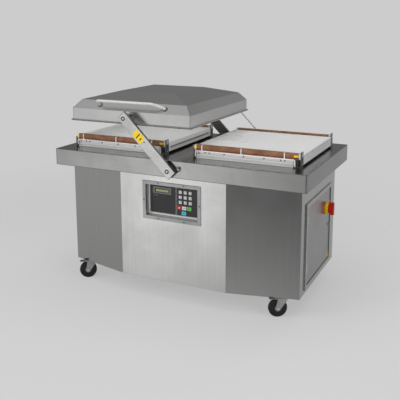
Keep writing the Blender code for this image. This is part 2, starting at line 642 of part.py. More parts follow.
# ---------------------------------------------------------------- castors
def make_castor(label, x, y, has_brake):
    """Fork and wheel of one castor, modelled trailing along +X and then turned."""
    place = Matrix.Translation((x, y, 0)) @ Matrix.Rotation(CASTOR_TURN, 4, "Z")
    head_top = BASE_PLATE - 0.009 - GAP
    cheek = WHEEL_WIDTH / 2 + 0.003
    crown_low = 2 * WHEEL_RADIUS + 0.0025
    fork = box(f"castor_fork_{label}", (-0.026, -cheek - 0.003, crown_low),
               (0.040, cheek + 0.003, crown_low + 0.004), ZINC)
    crown = rod("crown", (0, 0, crown_low + 0.001), (0, 0, head_top), 0.024, ZINC, 24)
    join(fork, crown)
    hub = Vector((CASTOR_TRAIL, 0, WHEEL_RADIUS))
    outline = [(-0.026, crown_low + 0.003), (0.040, crown_low + 0.003), (hub.x + 0.014, hub.z + 0.010),
               (hub.x + 0.012, hub.z - 0.010), (hub.x, hub.z - 0.016), (hub.x - 0.012, hub.z - 0.010)]
    for side in (-1, 1):
        low, high = sorted((side * cheek, side * (cheek + 0.003)))
        join(fork, prism("cheek", outline, low, high, ZINC, "Y"))

    wheel = rod(f"castor_wheel_{label}", hub - Y_AXIS * WHEEL_WIDTH / 2, hub + Y_AXIS * WHEEL_WIDTH / 2,
                WHEEL_RADIUS, BLACK_RUBBER, 40)
    soften(wheel, 0.004, 2)
    pieces = [(fork, Vector((0, 0, head_top))), (wheel, hub)]

    if has_brake:
        hinge = Vector((0.048, 0, crown_low + 0.0015))
        pedal = box(f"brake_pedal_{label}", (0.0415, -0.019, crown_low),
                    (0.094, 0.019, crown_low + 0.003), ZINC)
        lug = rod("lug", hinge - Y_AXIS * 0.022, hinge + Y_AXIS * 0.022, 0.0032, ZINC, 12)
        pieces.append((join(pedal, lug), hinge))
    for piece, pivot in pieces:
        if piece.modifiers:
            graph = bpy.context.evaluated_depsgraph_get()
            piece.data = bpy.data.meshes.new_from_object(piece.evaluated_get(graph))
            piece.modifiers.clear()
        piece.data.transform(place)
        set_origin(piece, place @ pivot)


def make_castors():
    for label, x, y in castor_spots():
        make_castor(label, x, y, label.startswith("front"))


make_worktop()
make_base_frame()
make_front_panel()
make_rear_panel()
make_side_panels()
make_control_bezel()
make_controls()
make_door()
make_main_switch()
make_vacuum_pump()
make_cable_gland()
make_chambers()
make_lid_shell()
make_lid_gasket()
make_lid_handle()
make_counter_bars()
make_lid_links()
make_swing_arms()
make_guide_rod()
make_castors()
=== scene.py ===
# %% [markdown]
# # A twin-chamber vacuum packing machine
# The machine is a stainless cabinet on four castors. Its deep-edged worktop carries two
# chambers, and one hipped lid on two swing arms closes over either of them.
# The solid model is already finished and packed, so this lesson works on top of it:
# every new piece takes its place from a solid's own box or from a joint, and rides on a body.

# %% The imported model
import json
import math

import bpy
from mathutils import Matrix, Vector


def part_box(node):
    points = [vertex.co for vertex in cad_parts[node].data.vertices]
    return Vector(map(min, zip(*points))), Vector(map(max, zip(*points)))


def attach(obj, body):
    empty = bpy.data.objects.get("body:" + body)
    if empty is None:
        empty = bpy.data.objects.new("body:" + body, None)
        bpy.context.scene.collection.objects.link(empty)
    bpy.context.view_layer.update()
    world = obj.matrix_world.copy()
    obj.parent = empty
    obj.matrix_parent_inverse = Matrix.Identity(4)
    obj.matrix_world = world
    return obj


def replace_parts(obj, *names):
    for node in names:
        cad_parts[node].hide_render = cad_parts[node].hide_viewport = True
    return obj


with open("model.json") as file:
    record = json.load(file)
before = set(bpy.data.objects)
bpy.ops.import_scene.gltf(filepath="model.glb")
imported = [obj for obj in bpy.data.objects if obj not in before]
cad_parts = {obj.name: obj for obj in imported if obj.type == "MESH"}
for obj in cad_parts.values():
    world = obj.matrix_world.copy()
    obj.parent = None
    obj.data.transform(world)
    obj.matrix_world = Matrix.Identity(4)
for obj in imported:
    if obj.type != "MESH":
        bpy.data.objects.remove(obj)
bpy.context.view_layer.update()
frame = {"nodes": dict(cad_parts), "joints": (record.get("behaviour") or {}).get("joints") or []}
joints = {joint["name"]: joint for joint in frame["joints"]}
SIDES = ("left", "right")
ROWS = ("front", "rear")

# %% [markdown]
# ## The studio
# Stainless steel has almost no colour of its own: what it shows is the room around it.
# So the room comes first. The camera stands to the right of the machine, a little above it.
# A wide lamp overhead and one at the front left light the white plates and the floor.
# The steel reads its tones from a soft room that is bright low down in front,
# dim towards the back and overhead, which keeps the lid's roof and the worktop dark.

# %% Camera
scene = bpy.context.scene
scene.view_settings.view_transform = "Standard"
lens = bpy.data.cameras.new("camera")
lens.sensor_width = 36
lens.lens = 56.2
lens.shift_x = -0.0244
lens.shift_y = -0.1658
camera = bpy.data.objects.new("camera", lens)
scene.collection.objects.link(camera)
camera.location = (1.874, -3.876, 1.827)
camera.rotation_euler = (math.radians(90 - 10.287), 0, math.radians(25.252))
scene.camera = camera
print("camera", tuple(round(value, 3) for value in camera.location))


# %% Lamps
def soft_lamp(name, place, aim, size, power):
    lamp = bpy.data.lights.new(name, "AREA")
    lamp.shape = "SQUARE"
    lamp.size = size
    lamp.energy = power
    holder = bpy.data.objects.new(name, lamp)
    scene.collection.objects.link(holder)
    holder.location = place
    holder.rotation_euler = (Vector(aim) - Vector(place)).to_track_quat("-Z", "Y").to_euler()
    holder.visible_glossy = False


soft_lamp("overhead", (0.2, -0.3, 4.4), (0.1, 0, 0.6), 3.6, 70)
soft_lamp("key", (-3.2, -4.2, 3.6), (0, -0.2, 0.7), 2.6, 90)
soft_lamp("front", (0.6, -5.0, 1.35), (0, 0, 1.0), 3.0, 120)
soft_lamp("fill", (4.5, -2.0, 2.2), (0, 0, 0.7), 2.4, 60)
soft_lamp("back", (1.5, 4.5, 3.0), (0, 0, 0.7), 2.6, 60)
# a small soft lamp stands for the light that the lid's bright inside throws back onto the plates
lid_low, lid_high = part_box("lid_shell")
lid_middle = (lid_low + lid_high) / 2
soft_lamp("under_lid", (lid_middle.x, -0.06, lid_low.z - 0.004), (lid_middle.x, -0.06, 0), 0.74, 1.0)

# %% [markdown]
# Shader trees are long to write, so one helper adds a node with its values and its links.


# %% Node helper
def add_node(tree, kind, links=(), **settings):
    """Add a node, set its properties and socket values, and link what feeds it."""
    node = tree.nodes.new(f"ShaderNode{kind}")
    for name, value in settings.items():
        if hasattr(node, name):
            setattr(node, name, value)
        else:
            node.inputs[name.replace("_", " ")].default_value = value
    for source, socket in links:
        tree.links.new(source, node.inputs[socket])
    return node


# %% [markdown]
# The room is a sum of soft lobes of light, each one a direction, a strength and a width.
# Each lobe is exp(width * (dot - 1)), where dot is the cosine between a reflected ray
# and the lobe's direction, so a high width is a small lamp and a low width is a wall of light.

# %% Room
BACKDROP = (0.604, 0.604, 0.604, 1.0)
room = bpy.data.worlds.new("room")
room.use_nodes = True
scene.world = room
sky = room.node_tree
sky.nodes.clear()


def room_maths(operation, source, value=0.0):
    node = add_node(sky, "Math", [(source, 0)], operation=operation)
    node.inputs[1].default_value = value
    return node.outputs[0]


towards = add_node(sky, "TexCoord").outputs["Generated"]
height = add_node(sky, "SeparateXYZ", [(towards, 0)]).outputs["Z"]
glow = add_node(sky, "MapRange", [(height, "Value")], interpolation_type="SMOOTHSTEP",
    From_Min=0.12, From_Max=-0.10, To_Min=0.05, To_Max=0.075).outputs["Result"]
LOBES = (
    # direction, strength, width
    ((-0.47, -0.85, -0.24), 1.08, 42),    # bright floor and wall at the front left
    ((-0.80, -0.56, -0.20), 0.22, 14),    # its weaker edge further left
    ((-0.45, -0.39, 0.80), 0.46, 8),      # the key lamp's glow, seen by the bevels
    ((0.83, -0.42, -0.20), 0.45, 14),     # a bright strip at the right front, seen by the corners
    ((0.40, 0.89, -0.16), 0.12, 12),      # grey wall at the back right
    ((0.33, 0.85, 0.42), 0.14, 12),       # and above it
    ((-0.45, 0.62, 0.64), 0.11, 10),      # dim ceiling behind
    ((0.0, -0.80, -0.60), 0.62, 38),      # floor right in front
    ((-0.50, 0.82, -0.30), 0.40, 22),     # floor and wall at the back left
    ((0.0, 0.6, -0.8), 0.22, 4),          # floor behind
    ((0.98, 0.05, -0.15), 0.36, 9),       # wall at the right
    ((-0.98, 0.12, -0.15), 0.36, 9),      # wall at the left
    ((0.0, 0.40, 0.91), 0.20, 12),         # ceiling
    ((0.10, 0.98, -0.12), 0.16, 10),      # wall at the back
)
for direction, strength, width in LOBES:
    dot = add_node(sky, "VectorMath", [(towards, 0)], operation="DOT_PRODUCT")
    dot.inputs[1].default_value = Vector(direction).normalized()
    narrowed = room_maths("MULTIPLY", room_maths("SUBTRACT", dot.outputs["Value"], 1.0), width)
    lobe = room_maths("MULTIPLY", room_maths("EXPONENT", narrowed), strength)
    glow = add_node(sky, "Math", [(glow, 0), (lobe, 1)], operation="ADD").outputs[0]

room_light = add_node(sky, "Background", [(glow, "Color")]).outputs[0]
backdrop = add_node(sky, "Background", Color=BACKDROP).outputs[0]
seen = add_node(sky, "LightPath").outputs["Is Camera Ray"]
chooser = add_node(sky, "MixShader", [(seen, 0), (room_light, 1), (backdrop, 2)])
add_node(sky, "OutputWorld", [(chooser.outputs[0], "Surface")])
print("lobes of light", len(LOBES))

# %% [markdown]
# ## The floor
# A real studio floor runs out of sight and into the backdrop. Here a round floor does it:
# the disc is matt and pale, and fades out towards its rim, so no edge shows from any side.

# %% Floor
FLOOR_REACH = 9.0
bpy.ops.object.select_all(action="DESELECT")
bpy.ops.mesh.primitive_circle_add(vertices=96, radius=FLOOR_REACH, fill_type="NGON", location=(0, 0, 0))
floor = bpy.context.object
floor.name = "studio_floor"
floor.visible_glossy = False
pale = bpy.data.materials.new("pale_floor")
pale.use_nodes = True
tree = pale.node_tree
pale_shader = tree.nodes["Principled BSDF"]
pale_shader.inputs["Base Color"].default_value = (0.76, 0.76, 0.76, 1)
pale_shader.inputs["Roughness"].default_value = 0.9
pale_shader.inputs["Specular IOR Level"].default_value = 0.1
here = add_node(tree, "TexCoord").outputs["Object"]
reach = add_node(tree, "VectorMath", [(here, 0)], operation="LENGTH").outputs["Value"]
fade = add_node(tree, "MapRange", [(reach, "Value")], interpolation_type="SMOOTHSTEP",
    From_Min=1.2, From_Max=4.5, To_Min=0.36, To_Max=0.0)
tree.links.new(fade.outputs["Result"], pale_shader.inputs["Alpha"])
floor.data.materials.append(pale)
print("floor", FLOOR_REACH, "m")

# %% [markdown]
# ## Effects that many finishes share
# Four small shader groups are built once and then placed in each finish with other values.
# *Brush lines* are long noise streaks: the belt that polishes sheet steel leaves them.
# *Handling* is a slow cloudy pattern, for wiped surfaces that are not evenly clean.
# *Soft edges* rounds hard corners in the shading, and marks them for a brighter edge: partly wear, partly a
# painted highlight.
# *Pebble* is the fine moulded skin of rubber and plastic.


# %% Group helper
def new_group(name, inputs, outputs):
    tree = bpy.data.node_groups.new(name, "ShaderNodeTree")
    for label, kind, value in inputs:
        socket = tree.interface.new_socket(name=label, in_out="INPUT", socket_type=f"NodeSocket{kind}")
        if value is not None:
            socket.default_value = value
    for label, kind in outputs:
        tree.interface.new_socket(name=label, in_out="OUTPUT", socket_type=f"NodeSocket{kind}")
    return tree, tree.nodes.new("NodeGroupInput"), tree.nodes.new("NodeGroupOutput")

# %% Brush lines
brush_lines, taken, given = new_group("brush_lines", [("Vector", "Vector", None)],
    [("Tone", "Float"), ("Height", "Float")])
fine = add_node(brush_lines, "TexNoise", [(taken.outputs["Vector"], "Vector")], Scale=1.0,
    Detail=3.0, Roughness=0.6)
broad = add_node(brush_lines, "TexNoise", [(taken.outputs["Vector"], "Vector")], Scale=0.11,
    Detail=2.0, Roughness=0.5)
both = add_node(brush_lines, "Math", [(fine.outputs["Fac"], 0), (broad.outputs["Fac"], 1)], operation="ADD")
tone = add_node(brush_lines, "MapRange", [(both.outputs[0], "Value")], From_Min=0.78, From_Max=1.22)
brush_lines.links.new(tone.outputs["Result"], given.inputs["Tone"])
brush_lines.links.new(fine.outputs["Fac"], given.inputs["Height"])

# %% Handling
handling, taken, given = new_group("handling", [("Vector", "Vector", None),
    ("Size", "Float", 4.0)], [("Mask", "Float")])
cloud = add_node(handling, "TexNoise", [(taken.outputs["Vector"], "Vector"),
    (taken.outputs["Size"], "Scale")], Detail=5.0, Roughness=0.62, Distortion=0.4)
cloud_mask = add_node(handling, "MapRange", [(cloud.outputs["Fac"], "Value")], From_Min=0.36, From_Max=0.68)
handling.links.new(cloud_mask.outputs["Result"], given.inputs["Mask"])

# %% Soft edges
soft_edges, taken, given = new_group("soft_edges", [("Radius", "Float", 0.0015)],
    [("Normal", "Vector"), ("Mask", "Float")])
rounded = add_node(soft_edges, "Bevel", [(taken.outputs["Radius"], "Radius")], samples=4)
unrounded = add_node(soft_edges, "NewGeometry")
same = add_node(soft_edges, "VectorMath", [(rounded.outputs["Normal"], 0),
    (unrounded.outputs["Normal"], 1)], operation="DOT_PRODUCT")
edge_mask = add_node(soft_edges, "MapRange", [(same.outputs["Value"], "Value")], From_Min=0.995,
    From_Max=0.88)
soft_edges.links.new(rounded.outputs["Normal"], given.inputs["Normal"])
soft_edges.links.new(edge_mask.outputs["Result"], given.inputs["Mask"])

# %% Pebble
pebble, taken, given = new_group("pebble", [("Vector", "Vector", None),
    ("Grain", "Float", 900.0)], [("Height", "Float"), ("Tone", "Float")])
cells = add_node(pebble, "TexVoronoi", [(taken.outputs["Vector"], "Vector"),
    (taken.outputs["Grain"], "Scale")])
patches = add_node(pebble, "TexNoise", [(taken.outputs["Vector"], "Vector")], Scale=28.0, Detail=4.0)
pebble.links.new(cells.outputs["Distance"], given.inputs["Height"])
pebble.links.new(patches.outputs["Fac"], given.inputs["Tone"])
print("groups", [group.name for group in bpy.data.node_groups])

# %% [markdown]
# ## Metal finishes
# A metal finish is the same recipe each time: two close tones mixed by the brush lines,
# a roughness that drifts with handling, brighter edges that are partly wear and partly a painted highlight,
# and a very shallow scratch relief.
# The stretch of the pattern sets which way the belt ran: a small number is the long way.


# %% Metal recipe
def rgb(colour):
    """A pair is a grey and its blue part; three numbers are red, green and blue."""
    return colour if len(colour) == 3 else (colour[0], *colour)


def place_group(tree, group, links=(), **values):
    return add_node(tree, "Group", links, node_tree=group, **values)


def mix_colours(tree, factor, first, second):
    node = tree.nodes.new("ShaderNodeMix")
    node.data_type = "RGBA"
    tree.links.new(factor, node.inputs["Factor"])
    for socket, value in (("A", first), ("B", second)):
        slot = next(item for item in node.inputs if item.name == socket and item.type == "RGBA")
        if hasattr(value, "is_output"):
            tree.links.new(value, slot)
        else:
            slot.default_value = (*value, 1.0)
    return next(item for item in node.outputs if item.type == "RGBA")


def new_finish(name):
    """A material with its shader and the piece's own coordinates."""
    finish = bpy.data.materials.new(name)
    finish.use_nodes = True
    tree = finish.node_tree
    here = tree.nodes.new("ShaderNodeTexCoord").outputs["Object"]
    return finish, tree, tree.nodes["Principled BSDF"], here


def metal(name, light, dark, roughness, drift, stretch, relief=0.04, edge=0.0012, metallic=1.0):
    light, dark = rgb(light), rgb(dark)
    finish, tree, shader, here = new_finish(name)
    shader.inputs["Metallic"].default_value = metallic
    run = add_node(tree, "Mapping", [(here, "Vector")], Scale=stretch)
    brush = place_group(tree, brush_lines, [(run.outputs["Vector"], "Vector")])
    wiped = place_group(tree, handling, [(here, "Vector")], Size=3.4)
    edges = place_group(tree, soft_edges, Radius=edge)
    sheet = mix_colours(tree, brush.outputs["Tone"], light, dark)
    # the edge mask lifts the colour: partly edge wear, partly a painted highlight
    bright = tuple(min(1.0, value * 1.22) for value in light)
    tree.links.new(mix_colours(tree, edges.outputs["Mask"], sheet, bright), shader.inputs["Base Color"])
    sheen = add_node(tree, "MapRange", [(wiped.outputs["Mask"], "Value")],
        To_Min=roughness - drift, To_Max=roughness + drift)
    tree.links.new(sheen.outputs["Result"], shader.inputs["Roughness"])
    scratch = add_node(tree, "Bump", [(brush.outputs["Height"], "Height"),
        (edges.outputs["Normal"], "Normal")], Strength=relief, Distance=0.001)
    tree.links.new(scratch.outputs["Normal"], shader.inputs["Normal"])
    return finish


# %% Metals
upright_steel = metal("steel_brushed_upright", (0.67, 0.66), (0.635, 0.63), 0.23, 0.04, (1500, 1500, 16),
    0.02)
long_steel = metal("steel_brushed_along", (0.44, 0.435), (0.415, 0.41), 0.24, 0.04, (16, 1500, 1500), 0.012)
lid_steel = metal("steel_brushed_lid", (0.84, 0.83), (0.81, 0.805), 0.35, 0.03, (16, 900, 900), 0.002)
rail_steel = metal("steel_rail", (0.82, 0.81), (0.79, 0.78), 0.32, 0.03, (220, 220, 220), 0.004, 0.0006,
    0.4)
door_steel = metal("steel_brushed_door", (0.56, 0.555), (0.53, 0.525), 0.30, 0.04, (1500, 1500, 16), 0.004)
bezel_steel = metal("steel_bezel", (0.56, 0.555), (0.50, 0.495), 0.36, 0.05, (300, 300, 300), 0.03, 0.0010)
satin_steel = metal("steel_satin", (0.70, 0.69), (0.62, 0.61), 0.26, 0.05, (220, 220, 220), 0.03, 0.0008)
arm_steel = metal("steel_arm", (0.74, 0.73), (0.66, 0.65), 0.30, 0.05, (300, 300, 300), 0.05, 0.0010)
# a darker copy of the arm steel: painted shade for the rear arm, which the lid shades
shaded_rear_arm_steel = metal("steel_arm_rear", (0.46, 0.455), (0.40, 0.395), 0.32, 0.05, (300, 300, 300), 0.05,
    0.0010)
bracket_steel = metal("steel_bracket", (0.26, 0.26), (0.11, 0.11), 0.36, 0.07, (90, 90, 90), 0.08, 0.0008,
    0.7)
zinc_steel = metal("zinc_plate", (0.50, 0.49), (0.36, 0.355), 0.34, 0.09, (60, 60, 60), 0.08, 0.0008, 0.6)
bar_aluminium = metal("aluminium_bar", (0.88, 0.87), (0.80, 0.79), 0.42, 0.06, (12, 420, 420), 0.04, 0.0010,
    0.45)
dark_screw = metal("screw_dark", (0.22, 0.22), (0.12, 0.12), 0.36, 0.08, (200, 200, 200), 0.05, 0.0004)
bright_screw = metal("screw_bright", (0.82, 0.81), (0.68, 0.67), 0.30, 0.06, (200, 200, 200), 0.05, 0.0004,
    0.7)
print("metals ready")

# %% [markdown]
# ## Moulded and painted finishes
# Plastic, rubber and paint are not metallic. Their skin is a fine pebble, their colour
# drifts a little, and dust dulls them unevenly. Hard edges get a thin painted highlight.


# %% Moulded recipe
def moulded(name, main, drift_to, roughness, drift, grain, relief, edge=0.0008, edge_highlight_lift=1.25, coat=0.0):
    main, drift_to = rgb(main), rgb(drift_to)
    finish, tree, shader, here = new_finish(name)
    shader.inputs["Coat Weight"].default_value = coat
    skin = place_group(tree, pebble, [(here, "Vector")], Grain=grain)
    dusty = place_group(tree, handling, [(here, "Vector")], Size=6.0)
    edges = place_group(tree, soft_edges, Radius=edge)
    body = mix_colours(tree, skin.outputs["Tone"], main, drift_to)
    # the edge mask lifts the base colour: a painted highlight along hard edges
    edge_highlight_colour = tuple(min(1.0, value * edge_highlight_lift + 0.01) for value in main)
    tree.links.new(mix_colours(tree, edges.outputs["Mask"], body, edge_highlight_colour), shader.inputs["Base Color"])
    sheen = add_node(tree, "MapRange", [(dusty.outputs["Mask"], "Value")],
        To_Min=roughness - drift, To_Max=roughness + drift)
    tree.links.new(sheen.outputs["Result"], shader.inputs["Roughness"])
    relief_node = add_node(tree, "Bump", [(skin.outputs["Height"], "Height"),
        (edges.outputs["Normal"], "Normal")], Strength=relief, Distance=0.0006)
    tree.links.new(relief_node.outputs["Normal"], shader.inputs["Normal"])
    return finish


# %% Plastics, rubbers and paints
white_plate = moulded("polyethylene_white", (0.80, 0.795), (0.75, 0.745), 0.46, 0.08, 700, 0.10)
gasket_rubber = moulded("rubber_gasket", (0.030, 0.030), (0.045, 0.045), 0.55, 0.10, 1400, 0.25)
tyre_rubber = moulded("rubber_tyre", (0.009, 0.009), (0.017, 0.017), 0.55, 0.10, 600, 0.35, 0.0015)
counter_rubber = moulded("silicone_grey", (0.36, 0.35), (0.28, 0.27), 0.55, 0.08, 900, 0.20)
fascia_foil = moulded("fascia_foil", (0.024, 0.026), (0.034, 0.036), 0.38, 0.08, 2200, 0.20)
pump_paint = moulded("pump_paint", (0.085, 0.12, 0.15), (0.065, 0.095, 0.125), 0.42, 0.09, 420, 0.35, 0.002,
    1.5)
box_plastic = moulded("electrics_plastic", (0.46, 0.47, 0.47), (0.40, 0.41, 0.41), 0.52, 0.08, 900, 0.20)
black_plastic = moulded("plastic_black", (0.022, 0.022), (0.036, 0.036), 0.42, 0.08, 900, 0.20)
hose_white = moulded("hose_white", (0.86, 0.85), (0.80, 0.79), 0.38, 0.06, 1200, 0.05)
# slightly darker and glossier than the plates: painted shadow of the lid
lid_shadow_finish = moulded("lid_shadow_sheet", (0.78, 0.77), (0.74, 0.73), 0.30, 0.05, 900, 0.04)
seam_grey = moulded("plate_seam", (0.11, 0.11), (0.08, 0.08), 0.6, 0.08, 900, 0.05)
light_key = moulded("key_light", (0.62, 0.61), (0.56, 0.55), 0.46, 0.06, 1500, 0.15)
red_key = moulded("key_red", (0.55, 0.028, 0.012), (0.47, 0.022, 0.010), 0.42, 0.06, 1500, 0.15)
green_key = moulded("key_green", (0.16, 0.50, 0.13), (0.13, 0.43, 0.11), 0.42, 0.06, 1500, 0.15)
blue_key = moulded("key_blue", (0.11, 0.50, 0.66), (0.09, 0.43, 0.58), 0.42, 0.06, 1500, 0.15)
switch_yellow = moulded("switch_yellow", (0.86, 0.58, 0.010), (0.78, 0.52, 0.010), 0.34, 0.06, 1100, 0.12,
    coat=0.3)
switch_red = moulded("switch_red", (0.52, 0.014, 0.008), (0.45, 0.011, 0.007), 0.32, 0.06, 1100, 0.12,
    coat=0.3)
label_yellow = moulded("label_yellow", (0.86, 0.60, 0.012), (0.80, 0.55, 0.012), 0.42, 0.06, 2600, 0.08)
label_dark = moulded("label_dark", (0.030, 0.028, 0.026), (0.042, 0.040, 0.038), 0.45, 0.06, 2600, 0.08)
print("plastics ready")

# %% [markdown]
# ## Release tape
# The seal bars are covered with brown glass cloth soaked in non-stick resin. It is a plain
# weave that shines a little, with darker patches where it has been hot. Two crossed waves
# give the weave: one for the warp along the bar, one for the weft across it.


# %% Tape
def woven_tape(name, light, dark):
    finish, tree, shader, here = new_finish(name)
    threads = []
    for axis in ("X", "Z"):
        wave = add_node(tree, "TexWave", [(here, "Vector")], bands_direction=axis, Scale=260.0,
            Distortion=0.6, Detail=1.0)
        threads.append(wave.outputs["Fac"])
    weave = add_node(tree, "Math", [(threads[0], 0), (threads[1], 1)], operation="MULTIPLY")
    scorch = place_group(tree, handling, [(here, "Vector")], Size=16.0)
    brown = mix_colours(tree, scorch.outputs["Mask"], light, dark)
    deep = tuple(value * 0.7 for value in dark)
    tree.links.new(mix_colours(tree, weave.outputs[0], brown, deep), shader.inputs["Base Color"])
    sheen = add_node(tree, "MapRange", [(scorch.outputs["Mask"], "Value")], To_Min=0.34, To_Max=0.52)
    tree.links.new(sheen.outputs["Result"], shader.inputs["Roughness"])
    relief = add_node(tree, "Bump", [(weave.outputs[0], "Height")], Strength=0.3, Distance=0.0003)
    tree.links.new(relief.outputs["Normal"], shader.inputs["Normal"])
    return finish


release_tape = woven_tape("release_tape", (0.32, 0.16, 0.085), (0.17, 0.075, 0.035))
tape_hem = woven_tape("release_tape_hem", (0.24, 0.075, 0.028), (0.13, 0.038, 0.015))
print("tape ready")


# %% [markdown]
# ## Display glass
# A plain liquid-crystal window: the cells are a fine grid, a little darker at its lines,
# lit evenly from behind.

# %% Display
lcd, tree, shader, here = new_finish("display_cells")
grid = add_node(tree, "TexBrick", [(here, "Vector")], offset=0.0, Scale=60.0, Mortar_Size=0.02,
    Brick_Width=0.30, Row_Height=0.42)
grid.inputs["Color1"].default_value = (0.26, 0.30, 0.13, 1)
grid.inputs["Color2"].default_value = (0.19, 0.22, 0.10, 1)
grid.inputs["Mortar"].default_value = (0.20, 0.25, 0.07, 1)
tree.links.new(grid.outputs["Color"], shader.inputs["Base Color"])
tree.links.new(grid.outputs["Color"], shader.inputs["Emission Color"])
shader.inputs["Emission Strength"].default_value = 0.15
shader.inputs["Roughness"].default_value = 0.25
display_grey = moulded("display_frame", (0.16, 0.165), (0.13, 0.135), 0.34, 0.06, 1800, 0.06)
window_glass = moulded("display_window", (0.008, 0.009), (0.012, 0.013), 0.12, 0.03, 3000, 0.02, coat=0.6)

# %% [markdown]
# ## Finishes on the solid model
# Each solid keeps its mesh and gets its finish through its own material slots.
# The belt lines run upright on the cabinet's sheets and along the table and the lid.

# %% Dress the solids
FINISHES = {"worktop": long_steel, "base_frame": long_steel, "front_panel": upright_steel,
    "rear_panel": upright_steel, "side_panel_left": upright_steel, "side_panel_right": upright_steel,
    "service_door": door_steel, "lid_shell": lid_steel, "swing_arm_front": arm_steel,
    "swing_arm_rear": shaded_rear_arm_steel, "control_bezel": bezel_steel, "lid_handle": rail_steel,
    "lid_pivot_front": satin_steel, "lid_link_rear": satin_steel, "swing_shaft": satin_steel,
    "guide_rod": rail_steel, "guide_anchor": satin_steel, "seal_guide": bracket_steel,
    "electrics_box": box_plastic, "door_latch": zinc_steel, "castor_fork": zinc_steel,
    "brake_pedal": zinc_steel, "seal_bar": bar_aluminium, "product_plates": white_plate,
    "lid_gasket": gasket_rubber, "cable_gland": black_plastic, "castor_wheel": tyre_rubber,
    "counter_bar": counter_rubber, "control_fascia": fascia_foil, "vacuum_pump": pump_paint,
    "key_stop": red_key, "key_start": green_key, "key_air": blue_key, "key": light_key,
    "switch_base": switch_yellow, "switch_knob": switch_red,}


def finish_for(node_name):
    """The finish with the longest name that the node's name starts with."""
    return FINISHES[max((key for key in FINISHES if node_name.startswith(key)), key=len)]


for node_name, solid in frame["nodes"].items():
    if not solid.material_slots:
        solid.data.materials.append(finish_for(node_name))
    for slot in solid.material_slots:
        slot.material = finish_for(node_name)
print("dressed", len(frame["nodes"]), "solids")

# %% [markdown]
# ## Tools of the workshop
# New pieces are shaped one by one: a primitive goes in at its size and place, and is then
# worked in edit mode. These helpers hold the steps that come back all the time.
# An operator acts on everything that is selected, so each one starts by selecting just its piece.


# %% Selecting
def only(piece=None):
    if bpy.context.mode != "OBJECT":
        bpy.ops.object.mode_set(mode="OBJECT")
    bpy.ops.object.select_all(action="DESELECT")
    if piece is not None:
        piece.select_set(True)
        bpy.context.view_layer.objects.active = piece


def choose(piece, faces=None, edges=None):
    """Enter edit mode with just the faces or edges that pass a test of their place selected."""
    only(piece)
    bpy.ops.object.mode_set(mode="EDIT")
    bpy.ops.mesh.select_mode(type="FACE" if faces else "EDGE")
    bpy.ops.mesh.select_all(action="DESELECT")
    bpy.ops.object.mode_set(mode="OBJECT")
    mesh = piece.data
    if faces:
        for face in mesh.polygons:
            face.select = faces(face.center, face.normal)
    if edges:
        for edge in mesh.edges:
            edge.select = edges(*(mesh.vertices[index].co for index in edge.vertices))
    bpy.ops.object.mode_set(mode="EDIT")


def settle(piece):
    """Put the object's place into its mesh."""
    only(piece)
    bpy.ops.object.transform_apply(location=True, rotation=True, scale=True)
    return piece


def outwards(piece):
    choose(piece, faces=lambda centre, normal: True)
    bpy.ops.mesh.normals_make_consistent(inside=False)
    only(piece)
    return piece


# %% [markdown]
# A *block* is a cube with rounded edges. A *turned* part is pulled ring by ring out of a
# filled circle, the way a lathe profile is drawn: radius and height, one pair after another.
# A *pipe* follows points, and a *flat* part is an outline with rounded corners, pulled thick.


# %% Shaping
def block(name, low, high, edge=0.0006, steps=2):
    only()
    low, high = Vector(low), Vector(high)
    bpy.ops.mesh.primitive_cube_add(size=1, location=(low + high) / 2, scale=high - low)
    piece = bpy.context.object
    piece.name = piece.data.name = name
    settle(piece)
    choose(piece, edges=lambda a, b: True)
    bpy.ops.mesh.bevel(offset=edge, segments=steps, affect="EDGES")
    only(piece)
    return piece


def turned(name, base, axis, profile, sides=32):
    only()
    bpy.ops.mesh.primitive_circle_add(vertices=sides, radius=profile[0][0], fill_type="NGON")
    piece = bpy.context.object
    piece.name = piece.data.name = name
    choose(piece, faces=lambda centre, normal: True)
    for (before, low), (radius, height) in zip(profile, profile[1:]):
        bpy.ops.mesh.extrude_region_move(TRANSFORM_OT_translate={"value": (0, 0, height - low)})
        grow = radius / before
        bpy.ops.transform.resize(value=(grow, grow, 1), center_override=(0, 0, height))
    only(piece)
    turn = Vector(axis).to_track_quat("Z", "Y").to_matrix().to_4x4()
    piece.data.transform(Matrix.Translation(base) @ turn)
    return outwards(piece)


def pipe(name, points, radius, sides=3):
    line = bpy.data.curves.new(name, "CURVE")
    line.dimensions = "3D"
    line.bevel_depth = radius
    line.bevel_resolution = sides
    line.use_fill_caps = True
    run = line.splines.new("POLY")
    run.points.add(len(points) - 1)
    for point, place in zip(run.points, points):
        point.co = (*place, 1)
    piece = bpy.data.objects.new(name, line)
    scene.collection.objects.link(piece)
    only(piece)
    bpy.ops.object.convert(target="MESH")
    return bpy.context.object


def flat(name, corners, thick, rounding, steps=4):
    """A plate from corner points on the XY plane, rounded at its corners and pulled up by thick."""
    only()
    bpy.ops.mesh.primitive_circle_add(vertices=len(corners), radius=1, fill_type="NGON")
    piece = bpy.context.object
    piece.name = piece.data.name = name
    for vertex, corner in zip(piece.data.vertices, corners):
        vertex.co = (*corner, 0)
    choose(piece, edges=lambda a, b: True)
    bpy.ops.mesh.bevel(offset=rounding, segments=steps, affect="VERTICES")
    bpy.ops.mesh.select_all(action="SELECT")
    bpy.ops.mesh.extrude_region_move(TRANSFORM_OT_translate={"value": (0, 0, thick)})
    only(piece)
    return outwards(piece)


def put(piece, finish, body, angle=35):
    """Give a shaped piece its finish and smoothing, and let it ride on a body."""
    only(piece)
    piece.data.materials.clear()
    piece.data.materials.append(finish)
    bpy.ops.object.shade_smooth_by_angle(angle=math.radians(angle))
    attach(piece, body)
    return piece


